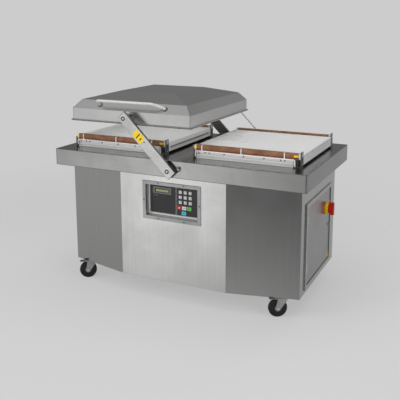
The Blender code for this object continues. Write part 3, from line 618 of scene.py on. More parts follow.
def copy_of(piece, name, place, body):
    """A copy with its own mesh, moved by a matrix. A mirrored copy has its faces turned back out."""
    twin = piece.copy()
    twin.data = piece.data.copy()
    twin.name = twin.data.name = name
    scene.collection.objects.link(twin)
    twin.data.transform(place)
    if place.determinant() < 0:
        twin.data.flip_normals()
    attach(twin, body)
    return twin


MIRROR_Y = Matrix.Diagonal((1, -1, 1, 1))

# %% [markdown]
# Screws are everywhere on such a machine. A pan head is a low turned dome with a socket,
# and a hexagon head is the same lathe profile on six sides.


# %% Screws
def pan_screw(name, base, axis, radius, finish, body):
    height = radius * 0.55
    profile = ((radius, 0), (radius, height * 0.45), (radius * 0.86, height * 0.85),
        (radius * 0.62, height), (radius * 0.34, height), (radius * 0.30, height * 0.35))
    return put(turned(name, base, axis, profile, 20), finish, body)


def hex_bolt(name, base, axis, radius, finish, body):
    height = radius * 0.7
    profile = ((radius, 0), (radius, height * 0.85), (radius * 0.88, height), (radius * 0.3, height * 0.97))
    return put(turned(name, base, axis, profile, 6), finish, body, 25)


# %% [markdown]
# ## Seal bars
# A seal bar is an aluminium rail that lifts against the lid. Its upper band is wrapped in
# release tape, clamped by a reddish strip along its lower edge. The wire under the tape stands
# up as a thin ridge. Yellow wedges hold the tape's ends, thin clips hold the cover, and the
# body below carries a row of screws and a bright air pipe that turns down at both ends.

# %% One seal bar
low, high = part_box("seal_bar_front_right")
BAR_MID = (low.x + high.x) / 2
BAR_TOP = high.z
BAND_LOW = BAR_TOP - 0.034
CHAMBER_STEP = BAR_MID - sum(point.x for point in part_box("seal_bar_front_left")) / 2
bar_y = (low.y + high.y) / 2
SKIN = 0.0006
bar_pieces = []

tape = block("release_tape", (low.x + 0.012, low.y - SKIN, BAND_LOW + 0.002),
    (high.x - 0.012, high.y + SKIN, BAR_TOP + SKIN), 0.0012, 2)
choose(tape, faces=lambda centre, normal: normal.z < -0.9)
bpy.ops.mesh.delete(type="FACE")
only(tape)
wall = tape.modifiers.new("cloth", "SOLIDIFY")
wall.thickness = 0.0004
wall.offset = -1
bpy.ops.object.modifier_apply(modifier="cloth")
bar_pieces.append((tape, release_tape))

ridge = block("seal_wire_ridge", (low.x + 0.016, bar_y - 0.0022, BAR_TOP + 0.0002),
    (high.x - 0.016, bar_y + 0.0022, BAR_TOP + 0.0013), 0.0005, 2)
bar_pieces.append((ridge, release_tape))
for label, face, step in (("outer", low.y, -1), ("inner", high.y, 1)):
    near, far = sorted((face + step * SKIN, face + step * 0.0019))
    strip = block(f"tape_clamp_{label}", (low.x + 0.010, near, BAND_LOW + 0.0008),
        (high.x - 0.010, far, BAND_LOW + 0.0096), 0.0005, 1)
    bar_pieces.append((strip, tape_hem))
print("bar from", round(low.x, 3), "to", round(high.x, 3))


# %% [markdown]
# The yellow wedges are modelled as blocks whose outer face is pulled in at the bottom,
# so that they taper like moulded clips. The thin clips wrap over the band as a small saddle.

# %% Wedges and clips
for label, x_from, x_to in (("left", -0.3565, -0.336), ("right", 0.312, 0.340)):
    wedge = block(f"tape_wedge_{label}", (BAR_MID + x_from, low.y - 0.0062, BAND_LOW + 0.013),
        (BAR_MID + x_to, low.y - SKIN, BAND_LOW + 0.0250), 0.0012, 2)
    choose(wedge, faces=lambda centre, normal: normal.z < -0.5)
    bpy.ops.transform.resize(value=(0.8, 0.5, 1), center_override=(BAR_MID + (x_from + x_to) / 2, low.y,
        BAND_LOW))
    only(wedge)
    bar_pieces.append((wedge, switch_yellow))

for index, x in enumerate((-0.300, -0.030, 0.252)):
    clip = block(f"cover_clip_{index}", (BAR_MID + x - 0.0028, low.y - 0.0042, BAND_LOW - 0.010),
        (BAR_MID + x + 0.0028, low.y - 0.0020, BAR_TOP + 0.0022), 0.0005, 1)
    hook = block(f"cover_clip_hook_{index}", (BAR_MID + x - 0.0028, low.y - 0.0042, BAR_TOP + 0.0008),
        (BAR_MID + x + 0.0028, low.y + 0.008, BAR_TOP + 0.0022), 0.0004, 1)
    clip.select_set(True)
    bpy.context.view_layer.objects.active = clip
    bpy.ops.object.join()
    bar_pieces.append((clip, hose_white))
print("clips", 3)

# %% Screws, pipe and terminals of the bar
BODY_FACE = bar_y - 0.0176
for label, z_from, z_to, proud in (("upper", -0.021, -0.0072, 0.0), ("lower", -0.038, -0.0245, 0.0009)):
    face = block(f"bar_body_{label}", (BAR_MID - 0.338, BODY_FACE - proud, BAND_LOW + z_from),
        (BAR_MID + 0.308, BODY_FACE + 0.0013, BAND_LOW + z_to), 0.0005, 2)
    bar_pieces.append((face, bar_aluminium))
SCREW_ROW = (-0.322, -0.276, -0.248, -0.144, -0.013, 0.122, 0.230, 0.256)
for index, x in enumerate(SCREW_ROW):
    spot = (BAR_MID + x, BODY_FACE + 0.0002, BAND_LOW - 0.0125)
    profile = ((0.0046, 0), (0.0046, 0.0022), (0.0036, 0.0032), (0.0018, 0.0032), (0.0016, 0.0018))
    bar_pieces.append((turned(f"bar_screw_{index}", spot, (0, -1, 0), profile, 14), dark_screw))

pipe_y = low.y - 0.0068
pipe_high = BAND_LOW - 0.0036
bend = [(BAR_MID + 0.312 + 0.008 * math.sin(angle), pipe_y, pipe_high - 0.008 * (1 - math.cos(angle)))
    for angle in (math.radians(step * 15) for step in range(7))]
back_bend = [(BAR_MID - 0.336 - 0.008 * math.sin(angle), pipe_y, pipe_high - 0.008 * (1 - math.cos(angle)))
    for angle in (math.radians(step * 15) for step in range(6, -1, -1))]
air_pipe = pipe("bar_air_pipe", [(BAR_MID - 0.344, pipe_y, BAND_LOW - 0.040)] + back_bend + bend
    + [(BAR_MID + 0.320, pipe_y, BAND_LOW - 0.045)], 0.0030)
bar_pieces.append((air_pipe, hose_white))

for label, x in (("left", -0.3475), ("right", 0.3475)):
    stud = turned(f"wire_terminal_{label}", (BAR_MID + x, bar_y, BAR_TOP - 0.0004), (0, 0, 1),
        ((0.0048, 0), (0.0048, 0.0012), (0.0030, 0.0015), (0.0030, 0.0023), (0.0022, 0.0025)), 12)
    bar_pieces.append((stud, bright_screw))

print("bar pieces", len(bar_pieces))

# %% [markdown]
# The bar's fittings are modelled once, on the front bar of the right chamber. The left
# chamber's are copies one step to the left, and the rear bars' are mirrored about the middle.

# %% All four seal bars
for shaped, finish in bar_pieces:
    put(shaped, finish, "seal_bar_front_right")
for side in SIDES:
    for row in ROWS:
        if (side, row) == ("right", "front"):
            continue
        place = Matrix.Translation((-CHAMBER_STEP if side == "left" else 0, 0, 0))
        if row == "rear":
            place = place @ MIRROR_Y
        for shaped, _ in bar_pieces:
            copy_of(shaped, f"{shaped.name}_{row}_{side}", place, f"seal_bar_{row}_{side}")
for shaped, _ in bar_pieces:
    shaped.name = f"{shaped.name}_front_right"

# %% [markdown]
# ## Lifting posts and end brackets
# Under each end of a bar a rubber bellows lifts it, and a bent bracket keeps it in line.
# The bellows is turned ring by ring: wide, narrow, wide, like a stack of lips.

# %% Bellows, brackets and their bolts
TABLE_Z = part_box("worktop")[1].z
POST_X = (-0.332, 0.332)
bellows_profile = [(0.0147, 0.0)]
for fold in range(4):
    level = 0.002 + fold * 0.0085
    bellows_profile += [(0.0147, level), (0.0156, level + 0.0030), (0.0156, level + 0.0042),
        (0.0147, level + 0.0072)]
for side in SIDES:
    middle = BAR_MID if side == "right" else BAR_MID - CHAMBER_STEP
    for row, way in (("front", -1), ("rear", 1)):
        for label, x in zip(SIDES, POST_X):
            where = f"{row}_{side}_{label}"
            put(turned(f"lift_bellows_{where}", (middle + x, way * abs(bar_y), TABLE_Z + 0.0115), (0, 0, 1),
                bellows_profile, 24), gasket_rubber, "cabinet")
            tall = 0.098 if label == "right" else 0.070
            outer_x = middle + (0.3608 if label == "right" else -0.3608)
            push = 1 if label == "right" else -1
            for step, z in enumerate((0.022, tall - 0.014)):
                pan_screw(f"bracket_screw_{where}_{step}", (outer_x, way * (abs(bar_y) + 0.004),
                    TABLE_Z + z), (push, 0, 0), 0.0050, bright_screw, "cabinet")
            ear_low, ear_high = sorted((outer_x - push * 0.0002, outer_x + push * 0.0018))
            ear = block(f"bracket_plate_{where}", (ear_low, way * abs(bar_y) - 0.012,
                TABLE_Z + tall - 0.030), (ear_high, way * abs(bar_y) + 0.012, TABLE_Z + tall - 0.004),
                0.0006, 1)
            put(ear, bright_screw, "cabinet")
        rail = block(f"guide_rail_face_{row}_{side}", (middle - 0.340, way * abs(bar_y) - 0.0170,
            TABLE_Z + 0.0006), (middle + 0.308, way * abs(bar_y) + 0.0170, TABLE_Z + 0.0118), 0.0008, 2)
        put(rail, bar_aluminium, "cabinet")
print("posts", 8)

# %% [markdown]
# ## Insert plates
# Filled bags lie on white polyethylene plates. A thin, slightly darker sheet on the right pair
# paints the lid's shadow, cut off at a slant with one rounded tongue. A thin seam line shows on both sides
# of each pair, a brown strip lies along the left pair's inner edge, and each pair has the rims of two
# finger holes.

# %% Painted lid shadow sheet and edge strips
plate_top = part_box("product_plates_right")[1].z
plate_low_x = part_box("product_plates_right")[0].x
# a thin sheet over the right plates, shaped like the lid's shadow: painted shadow
sheet_outline = ((plate_low_x + 0.004, -0.104), (0.384, -0.116), (0.386, -0.092), (0.294, -0.080),
    (0.198, 0.312), (plate_low_x + 0.004, 0.312))
lid_shadow_piece = flat("lid_shadow_sheet", sheet_outline, 0.0016, 0.010)
lid_shadow_piece.data.transform(Matrix.Translation((0, 0, plate_top + 0.0001)))
put(lid_shadow_piece, lid_shadow_finish, "plates_right")

left_low, left_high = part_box("product_plates_left")
seam_z = plate_top - 0.032
strip = block("plate_edge_strip", (left_high.x + 0.0001, -0.300, seam_z - 0.0046),
    (left_high.x + 0.0014, 0.286, seam_z + 0.0026), 0.0004, 1)
put(strip, release_tape, "plates_left")
for side in SIDES:
    low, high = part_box(f"product_plates_{side}")
    seam_low, seam_high = (seam_z - 0.0105, seam_z - 0.0085) if side == "left" else (plate_top - 0.0150,
        plate_top - 0.0130)
    seam = block(f"plate_seam_{side}", (low.x - 0.0003, low.y + 0.004, seam_low),
        (high.x + 0.0003, high.y - 0.004, seam_high), 0.0002, 1)
    put(seam, seam_grey, f"plates_{side}")
for side in SIDES:
    low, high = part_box(f"product_plates_{side}")
    for row, y in (("front", low.y + 0.040), ("rear", high.y - 0.040)):
        rim = turned(f"plate_finger_rim_{row}_{side}", ((low.x + high.x) / 2 + 0.20, y, plate_top - 0.0006),
            (0, 0, 1), ((0.0125, 0), (0.0125, 0.0012), (0.0105, 0.0014), (0.0095, 0.0008),
            (0.0090, 0.0001)), 32)
        put(rim, white_plate, f"plates_{side}")
print("insert plates done")

# %% [markdown]
# ## Lid fittings
# The grab rail stands on two small round feet on the lid's front bevel. A rolled bead runs
# round the rim above the gasket. On the pivot plates, two bolts stand on each side of the boss.

# %% Rail feet
LID_SKIRT, LID_BEVEL, LID_INSET, LID_LIP = 0.080, 0.136, 0.048, 0.012
shell_low, shell_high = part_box("lid_shell")
rail_low, rail_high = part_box("lid_handle")
bevel_up = Vector((0, LID_INSET, LID_BEVEL - LID_SKIRT)).normalized()
bevel_out = Vector((0, -bevel_up.z, bevel_up.y))
bevel_mid = Vector((0, shell_low.y + LID_LIP + LID_INSET / 2, shell_low.z + (LID_SKIRT + LID_BEVEL) / 2))
foot_profile = ((0.0190, 0), (0.0190, 0.0020), (0.0165, 0.0040), (0.0125, 0.0050), (0.0115, 0.0080))
for label, x in (("left", rail_low.x + 0.010), ("right", rail_high.x - 0.010)):
    spot = Vector((x, bevel_mid.y, bevel_mid.z)) + bevel_out * 0.0002
    put(turned(f"rail_foot_{label}", spot, bevel_out, foot_profile, 32), satin_steel, "lid")

# %% Rim bead
bead_z = shell_low.z + 0.0022
inset = 0.0010
corner = 0.016
ring = []
for (sx, sy), start in (((1, 1), 0), ((-1, 1), 90), ((-1, -1), 180), ((1, -1), 270)):
    centre_x = (shell_high.x - corner - inset) if sx > 0 else (shell_low.x + corner + inset)
    centre_y = (shell_high.y - corner - inset) if sy > 0 else (shell_low.y + corner + inset)
    for step in range(5):
        angle = math.radians(start + 22.5 * step)
        ring.append((centre_x + corner * math.cos(angle), centre_y + corner * math.sin(angle), bead_z))
bead = pipe("lid_rim_bead", ring + ring[:2], 0.0019, 2)
put(bead, satin_steel, "lid", 60)

for label, way in (("front", -1), ("rear", 1)):
    low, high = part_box("lid_pivot_front" if way < 0 else "lid_link_rear")
    pivot = Vector(joints["lid_level"]["pos_m"])
    face = shell_low.y + LID_LIP - 0.0063 if way < 0 else shell_high.y - LID_LIP + 0.0063
    spots = [(pivot.x - 0.027, pivot.z), (pivot.x + 0.027, pivot.z)]
    if way > 0:
        spots += [(high.x - 0.008, pivot.z + 0.013), (high.x - 0.008, pivot.z - 0.013),
            (pivot.x + 0.155, pivot.z)]
    for index, (x, z) in enumerate(spots):
        pan_screw(f"pivot_screw_{label}_{index}", (x, face, z), (0, way, 0), 0.0050, bright_screw, "lid")
print("lid fittings done")

# %% [markdown]
# ## Swing arms
# Each arm is a thick flat bar with a bolt through each end. A washer lies under each bolt,
# and its head has a hexagon socket. The front arm carries a plain yellow label along it.

# %% Arm bolts and label
arm_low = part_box("swing_arm_front")[0]
swing_pivot = Vector(joints["lid_swing"]["pos_m"])
lid_pivot = Vector(joints["lid_level"]["pos_m"])
along = (lid_pivot - swing_pivot).normalized()
washer_profile = ((0.0205, 0), (0.0205, 0.0012), (0.0196, 0.0018), (0.0158, 0.0018), (0.0156, 0.0006))
for label, way in (("front", -1), ("rear", 1)):
    low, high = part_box(f"swing_arm_{label}")
    head_face = low.y if way < 0 else high.y
    plate_face = head_face - way * 0.007
    for name, pivot in (("shaft", swing_pivot), ("lid", lid_pivot)):
        put(turned(f"arm_washer_{name}_{label}", (pivot.x, plate_face, pivot.z), (0, way, 0),
            washer_profile, 32), rail_steel, "swing")
        # the head keeps inside the solid's own depth, so it is let into the bolt
        put(turned(f"arm_socket_{name}_{label}", (pivot.x, head_face - way * 0.0036, pivot.z), (0, way, 0),
            ((0.0152, 0), (0.0152, 0.0030), (0.0142, 0.0036), (0.0074, 0.0036), (0.0070, 0.0016)), 28),
            rail_steel, "swing")
        put(turned(f"arm_hex_{name}_{label}", (pivot.x, head_face - way * 0.0036, pivot.z), (0, way, 0),
            ((0.0069, 0), (0.0069, 0.0017), (0.0004, 0.0017)), 6), dark_screw, "swing")

arm_face = arm_low.y + 0.007
label_turn = Matrix.Rotation(math.radians(90), 4, "X")
half_long, half_wide = 0.041, 0.0255
outline = ((-half_long, -half_wide), (half_long, -half_wide), (half_long, half_wide),
    (-half_long, half_wide))
lean = math.atan2(along.z, along.x)
centre = swing_pivot + along * 0.2905
label_place = Matrix.Translation((centre.x, arm_face, centre.z)) @ Matrix.Rotation(-lean, 4,
    "Y") @ label_turn
sticker = flat("arm_label", outline, 0.0005, 0.003)
sticker.data.transform(label_place)
put(sticker, label_yellow, "swing")
for index, (x, wide) in enumerate(((-0.020, 0.010), (0.006, 0.020))):
    bar = flat(f"arm_label_bar_{index}", ((x - 0.004, -wide), (x + 0.004, -wide), (x + 0.004, wide),
        (x - 0.004, wide)), 0.0007, 0.001)
    bar.data.transform(label_place)
    put(bar, label_dark, "swing")
hole = swing_pivot + along * 0.238
pan_screw("arm_grub_screw", (hole.x + 0.004, arm_face, hole.z + 0.004), (0, -1, 0), 0.0045, dark_screw,
    "swing")
print("arm length", round((lid_pivot - swing_pivot).length, 3))

# %% [markdown]
# ## Worktop fittings
# The swing shaft leaves the apron through a flanged bush, front and back. A round stop
# buffer sits on the front apron, right of the arm, where the lid's arm comes to rest.

# %% Bushes and buffer
top_low, top_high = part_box("worktop")
for label, face, way in (("front", top_low.y, -1), ("rear", top_high.y, 1)):
    put(turned(f"shaft_bush_{label}", (swing_pivot.x, face - way * 0.0005, swing_pivot.z), (0, way, 0),
        ((0.034, 0), (0.034, 0.0055), (0.031, 0.0085), (0.021, 0.0085), (0.0175, 0.0110), (0.0165, 0.0105)),
        40), satin_steel, "cabinet")
    for index in range(3):
        angle = math.radians(30 + index * 120)
        pan_screw(f"bush_screw_{label}_{index}", (swing_pivot.x + 0.0262 * math.cos(angle),
            face + way * 0.0078, swing_pivot.z + 0.0262 * math.sin(angle)), (0, way, 0), 0.0030, dark_screw,
            "cabinet")
BUFFER_X, BUFFER_Z, BUFFER_R = 0.065, TABLE_Z - 0.049, 0.017
put(turned("stop_buffer", (BUFFER_X, top_low.y + 0.0006, BUFFER_Z), (0, -1, 0),
    ((BUFFER_R, 0), (BUFFER_R, 0.0035), (BUFFER_R * 0.93, 0.0070), (BUFFER_R * 0.72, 0.0098),
    (BUFFER_R * 0.40, 0.0113), (BUFFER_R * 0.12, 0.0118)), 36), satin_steel, "cabinet")

# %% [markdown]
# A suction port with a strainer opens in the worktop beside each pair of plates.

# %% Suction ports
port_profile = ((0.0170, 0), (0.0170, 0.0022), (0.0150, 0.0036), (0.0110, 0.0036), (0.0104, 0.0016),
    (0.0040, 0.0016), (0.0036, 0.0030), (0.0010, 0.0033))
for side in SIDES:
    middle = BAR_MID if side == "right" else BAR_MID - CHAMBER_STEP
    inner = middle + (-0.385 if side == "right" else 0.385)
    put(turned(f"suction_port_{side}", (inner, 0.0, TABLE_Z + 0.0002), (0, 0, 1), port_profile, 32),
        satin_steel, "cabinet")
print("worktop fittings done")

# %% [markdown]
# ## Control panel
# The keypad is a dark foil in a recess. Six small screws hold its bezel. On the left is
# the display: a dark window with a lit strip of cells. Each key has a raised cushion with
# a plain figure or sign, and a fine line divides the two halves. Bright steel strips laid on
# the foil's left edge and along its bottom are a painted highlight for the lit left side and sill of the
# recess.

# %% Display and divider
fascia_low, fascia_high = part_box("control_fascia")
FASCIA_Y = fascia_low.y


def foil_piece(name, x_span, z_span, proud, finish, back=0.0001, edge=0.0004, steps=1):
    """A thin plate on the foil: how far its face stands proud, and how far its back does."""
    (x_low, x_high), (z_low, z_high) = x_span, z_span
    piece = block(name, (x_low, FASCIA_Y - proud, z_low), (x_high, FASCIA_Y - back, z_high), edge, steps)
    put(piece, finish, "cabinet")


def below_table(low, high):
    return TABLE_Z - low, TABLE_Z - high


foil_piece("display_window", (-0.142, -0.034), below_table(0.2330, 0.2090), 0.0012, window_glass,
    edge=0.0005, steps=2)
foil_piece("display_cells", (-0.133, -0.040), below_table(0.2285, 0.2135), 0.0015, lcd, 0.0010, 0.0002)
foil_piece("fascia_divider", (0.0165, 0.0177), (fascia_low.z + 0.012, fascia_high.z - 0.012), 0.0006,
    box_plastic, edge=0.0002)
# painted highlight: bright strips on the foil stand for the recess's lit left side and sill
foil_piece("fascia_tray_side", (fascia_low.x + 0.0008, fascia_low.x + 0.0100),
    (fascia_low.z + 0.0006, fascia_high.z - 0.0006), 0.0016, rail_steel)
foil_piece("fascia_tray_sill", (fascia_low.x + 0.0102, fascia_high.x - 0.0008),
    (fascia_low.z + 0.0006, fascia_low.z + 0.0130), 0.0016, rail_steel)
foil_piece("display_frame", (-0.157, -0.022), below_table(0.2425, 0.197), 0.0008, display_grey, 0.00005,
    steps=2)
for index in range(3):
    dome = turned(f"signal_lamp_{index}", (-0.146 + index * 0.016, FASCIA_Y - 0.0001, TABLE_Z - 0.255),
        (0, -1, 0), ((0.0022, 0), (0.0022, 0.0006), (0.0017, 0.0014), (0.0007, 0.0018)), 14)
    put(dome, (green_key, switch_yellow, red_key)[index], "cabinet")

# %% Frame lines of the foil
for label, low_x, high_x in (("left", fascia_low.x + 0.014, 0.0125), ("right", 0.0215,
        fascia_high.x - 0.010)):
    z_low, z_high = fascia_low.z + 0.016, fascia_high.z - 0.010
    for part, a, b in (("top", (low_x, z_high - 0.0008), (high_x, z_high)),
            ("bottom", (low_x, z_low), (high_x, z_low + 0.0008)), ("near", (low_x, z_low),
            (low_x + 0.0008, z_high)), ("far", (high_x - 0.0008, z_low), (high_x, z_high))):
        line = block(f"foil_line_{label}_{part}", (a[0], FASCIA_Y - 0.0005, a[1]),
            (b[0], FASCIA_Y - 0.0001, b[1]), 0.0001, 1)
        put(line, box_plastic, "cabinet")

# %% Bezel screws
bezel_low, bezel_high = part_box("control_bezel")
for index, (x, z) in enumerate(((-0.095, bezel_high.z - 0.010), (0.090, bezel_high.z - 0.010),
        (-0.095, bezel_low.z + 0.010), (0.092, bezel_low.z + 0.010), (bezel_low.x + 0.010, TABLE_Z - 0.281),
        (bezel_high.x - 0.010, TABLE_Z - 0.281))):
    pan_screw(f"bezel_screw_{index}", (x, bezel_low.y + 0.0001, z), (0, -1, 0), 0.0046, dark_screw,
        "cabinet")
print("bezel screws", 6)

# %% [markdown]
# A figure is drawn as text, made a mesh, and laid on its key's cushion. The signs on the
# command keys are plain shapes: a square stops, a triangle starts, two bars choose.


# %% Key cushions, figures and signs
def figure(name, sign, x, y, z, size):
    words = bpy.data.curves.new(name, "FONT")
    words.body = sign
    words.size = size
    words.align_x = words.align_y = "CENTER"
    words.extrude = 0.0002
    piece = bpy.data.objects.new(name, words)
    scene.collection.objects.link(piece)
    only(piece)
    bpy.ops.object.convert(target="MESH")
    piece = bpy.context.object
    piece.data.transform(Matrix.Translation((x, y, z)) @ Matrix.Rotation(math.radians(90), 4, "X"))
    return piece


CUSHION = 0.0011
for name in [node for node in frame["nodes"] if node.startswith("key_")]:
    low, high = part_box(name)
    cushion = block(f"cushion_{name}", (low.x + 0.0014, low.y - CUSHION, low.z + 0.0014),
        (high.x - 0.0014, low.y + 0.0002, high.z - 0.0014), 0.0009, 3)
    put(cushion, finish_for(name), name)
    x, z = (low.x + high.x) / 2, (low.z + high.z) / 2
    face = low.y - CUSHION - 0.0001
    digit = name[len("key_"):]
    if digit.isdigit():
        put(figure(f"figure_{digit}", digit, x, face, z, 0.0125), label_dark, name)
    elif digit == "stop":
        put(block("sign_stop", (x - 0.0042, face - 0.0003, z - 0.0042),
            (x + 0.0042, face + 0.0001, z + 0.0042), 0.0002, 1), light_key, name)
    else:
        corners = {"start": ((-0.0042, -0.0048), (0.0052, 0.0), (-0.0042, 0.0048)),
            "select": ((-0.0070, -0.0012), (0.0070, -0.0012), (0.0070, 0.0012), (-0.0070, 0.0012)),
            "air": ((-0.0052, 0.0040), (0.0, -0.0048), (0.0052, 0.0040))}[digit]
        sign = flat(f"sign_{digit}", corners, 0.0004, 0.0004)
        sign.data.transform(Matrix.Translation((x, face, z)) @ label_turn)
        put(sign, label_dark, name)
print("keys", sum(1 for name in frame["nodes"] if name.startswith("key_")))

# %% [markdown]
# ## Side door and main switch
# The pump is reached through a door in the right side. Two barrel hinges carry it along its
# front edge, and black strips in the gap round it are painted shade. The main switch is a red grip
# on a yellow plate with a raised ring. A small yellow label sits low at the rear.

# %% Hinges and painted gap shade
door_low, door_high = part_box("service_door")
hinge_axis = Vector(joints["door_hinge"]["pos_m"])
barrel = ((0.0046, 0), (0.0052, 0.0010), (0.0052, 0.0230), (0.0046, 0.0240))
for label, z in (("low", door_low.z + 0.085), ("high", door_high.z - 0.109)):
    for part, lift, body in (("cabinet", 0.0, "cabinet"), ("door", 0.0245, "door")):
        put(turned(f"door_hinge_{label}_{part}", (hinge_axis.x + 0.0015, hinge_axis.y, z + lift), (0, 0, 1),
            barrel, 20), bright_screw, body)
    leaf = block(f"hinge_leaf_{label}", (door_high.x + 0.0001, hinge_axis.y + 0.0052, z + 0.0255),
        (door_high.x + 0.0016, hinge_axis.y + 0.026, z + 0.0475), 0.0005, 1)
    put(leaf, bright_screw, "door")
    pan_screw(f"hinge_leaf_screw_{label}", (door_high.x + 0.0015, hinge_axis.y + 0.018, z + 0.0365),
        (1, 0, 0), 0.0032, dark_screw, "door")

# black strips set in the gap round the door: painted shade for that gap
STRIP = 0.0012
door_edges = (("top", (door_low.y, door_high.z - STRIP), (door_high.y, door_high.z + 0.0014)),
    ("bottom", (door_low.y, door_low.z - 0.0014), (door_high.y, door_low.z + STRIP)),
    ("rear", (door_high.y - STRIP, door_low.z), (door_high.y + 0.0014, door_high.z)),
    ("front", (door_low.y - 0.0014, door_low.z), (door_low.y + STRIP, door_high.z)))
for label, (y_low, z_low), (y_high, z_high) in door_edges:
    seal = block(f"door_seal_{label}", (door_high.x - 0.0080, y_low, z_low),
        (door_high.x - 0.0050, y_high, z_high), 0.0004, 1)
    put(seal, gasket_rubber, "cabinet")

# %% Switch ring, pointer and label
base_low, base_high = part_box("switch_base")
knob_low, knob_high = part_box("switch_knob")
switch_y, switch_z = (base_low.y + base_high.y) / 2, (base_low.z + base_high.z) / 2
put(turned("switch_ring", (base_high.x - 0.0040, switch_y, switch_z), (1, 0, 0),
    ((0.0388, 0), (0.0388, 0.0046), (0.0372, 0.0052), (0.0350, 0.0052), (0.0342, 0.0041)), 44),
    switch_yellow, "door")
grip_mark = block("switch_pointer", (knob_high.x - 0.0002, switch_y - 0.0016, switch_z + 0.012),
    (knob_high.x + 0.0006, switch_y + 0.0016, switch_z + 0.038), 0.0003, 1)
put(grip_mark, label_yellow, "main_switch")
for index in range(4):
    angle = math.radians(45 + 90 * index)
    pan_screw(f"switch_screw_{index}", (door_high.x + 0.0004, switch_y + 0.050 * math.cos(angle),
        switch_z + 0.050 * math.sin(angle)), (1, 0, 0), 0.0036, bright_screw, "door")
backing = flat("switch_backing", ((-0.044, -0.044), (0.044, -0.044), (0.044, 0.044), (-0.044, 0.044)),
    0.0009, 0.006)
to_side = Matrix(((0, 0, 1, 0), (1, 0, 0, 0), (0, 1, 0, 0), (0, 0, 0, 1)))
backing.data.transform(Matrix.Translation((door_high.x + 0.0001, switch_y, switch_z)) @ to_side)
put(backing, switch_yellow, "door")

label_plate = flat("door_label", ((-0.026, -0.024), (0.026, -0.024), (0.0, 0.026)), 0.0006, 0.004)
label_plate.data.transform(Matrix.Translation((door_high.x + 0.0001, 0.254, door_low.z + 0.034)) @ to_side)
put(label_plate, label_yellow, "door")
print("door fittings done")

# %% [markdown]
# ## Castors
# The wheel is a black tyre on a pressed steel disc, held by an axle bolt through both
# cheeks of the fork. A ring of the ball race shows above the fork, and the front pedals
# have ribs so that a shoe finds them.

# %% Wheels, axles and races
hub_profile = ((0.0195, 0), (0.0195, 0.0010), (0.0185, 0.0016), (0.0170, 0.0006), (0.0140, 0.0006),
    (0.0130, 0.0020), (0.0100, 0.0024), (0.0080, 0.0024))
tyre_profile = ((0.0150, 0.0010), (0.0200, 0.0010), (0.0230, 0.0), (0.0500, 0.0004), (0.0560, 0.0026),
    (0.0592, 0.0062), (0.0600, 0.0095), (0.0600, 0.0118), (0.0590, 0.0124), (0.0590, 0.0134),
    (0.0600, 0.0140), (0.0600, 0.0180), (0.0590, 0.0186), (0.0590, 0.0196), (0.0600, 0.0202),
    (0.0600, 0.0225), (0.0592, 0.0258), (0.0560, 0.0294), (0.0500, 0.0316), (0.0230, 0.0320),
    (0.0200, 0.0310), (0.0150, 0.0310))
race_profile = ((0.0270, 0), (0.0300, 0.0012), (0.0306, 0.0035), (0.0295, 0.0060), (0.0262, 0.0070))
CORNERS = ("front_left", "front_right", "rear_left", "rear_right")
for corner_name in CORNERS:
    roll = joints[f"roll_{corner_name}"]
    hub = Vector(roll["pos_m"])
    axle = Vector(roll["axis"]).normalized()
    swivel = Vector(joints[f"swivel_{corner_name}"]["pos_m"])
    for label, way in (("a", 1), ("b", -1)):
        put(turned(f"wheel_disc_{corner_name}_{label}", hub + axle * way * 0.0149, axle * way, hub_profile,
            36), zinc_steel, f"wheel_{corner_name}")
        hex_bolt(f"axle_bolt_{corner_name}_{label}", hub + axle * way * 0.0220, axle * way, 0.0082,
            bright_screw, f"fork_{corner_name}")
    put(turned(f"swivel_race_{corner_name}", (swivel.x, swivel.y, swivel.z - 0.0125), (0, 0, 1),
        race_profile, 36), zinc_steel, f"fork_{corner_name}")
    tyre = turned(f"tyre_{corner_name}", hub - axle * 0.0160, axle, tyre_profile, 56)
    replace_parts(put(tyre, tyre_rubber, f"wheel_{corner_name}"), f"castor_wheel_{corner_name}")
for corner_name in CORNERS[:2]:
    hinge = Vector(joints[f"brake_{corner_name}_press"]["pos_m"])
    axle = Vector(joints[f"brake_{corner_name}_press"]["axis"]).normalized()
    outward = axle.cross(Vector((0, 0, 1))).normalized()
    turn = Matrix((outward, axle, Vector((0, 0, 1)))).transposed().to_4x4()
    for index in range(4):
        reach_out = 0.012 + index * 0.0085
        rib = block(f"pedal_rib_{corner_name}_{index}", (reach_out, -0.0165, 0.0),
            (reach_out + 0.0035, 0.0165, 0.0022), 0.0008, 2)
        rib.data.transform(Matrix.Translation((hinge.x, hinge.y, hinge.z + 0.0014)) @ turn)
        put(rib, gasket_rubber, f"brake_{corner_name}")
print("castors", len(CORNERS))

# %% [markdown]
# ## Cabinet details
# The rear is closed by a bolted sheet with air slots for the pump, pressed outwards as louvres.
# One louvre is a block whose upper outer edge is pulled in, and the others are copies.
# A black slab in each louvre's open side paints the shade inside the slot.
# The same slots sit low on the left side, away from the door.

# %% Louvres
rear_low, rear_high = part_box("rear_panel")
LOUVRE = (0.120, 0.0085, 0.016)
first = block("louvre", (-LOUVRE[0] / 2, 0, -LOUVRE[2] / 2), (LOUVRE[0] / 2, LOUVRE[1], LOUVRE[2] / 2),
    0.0016, 3)
choose(first, faces=lambda centre, normal: normal.z > 0.6 or (normal.y > 0.3 and normal.z > 0.3))
bpy.ops.transform.resize(value=(0.92, 0.25, 1), center_override=(0, 0, 0))
only(first)
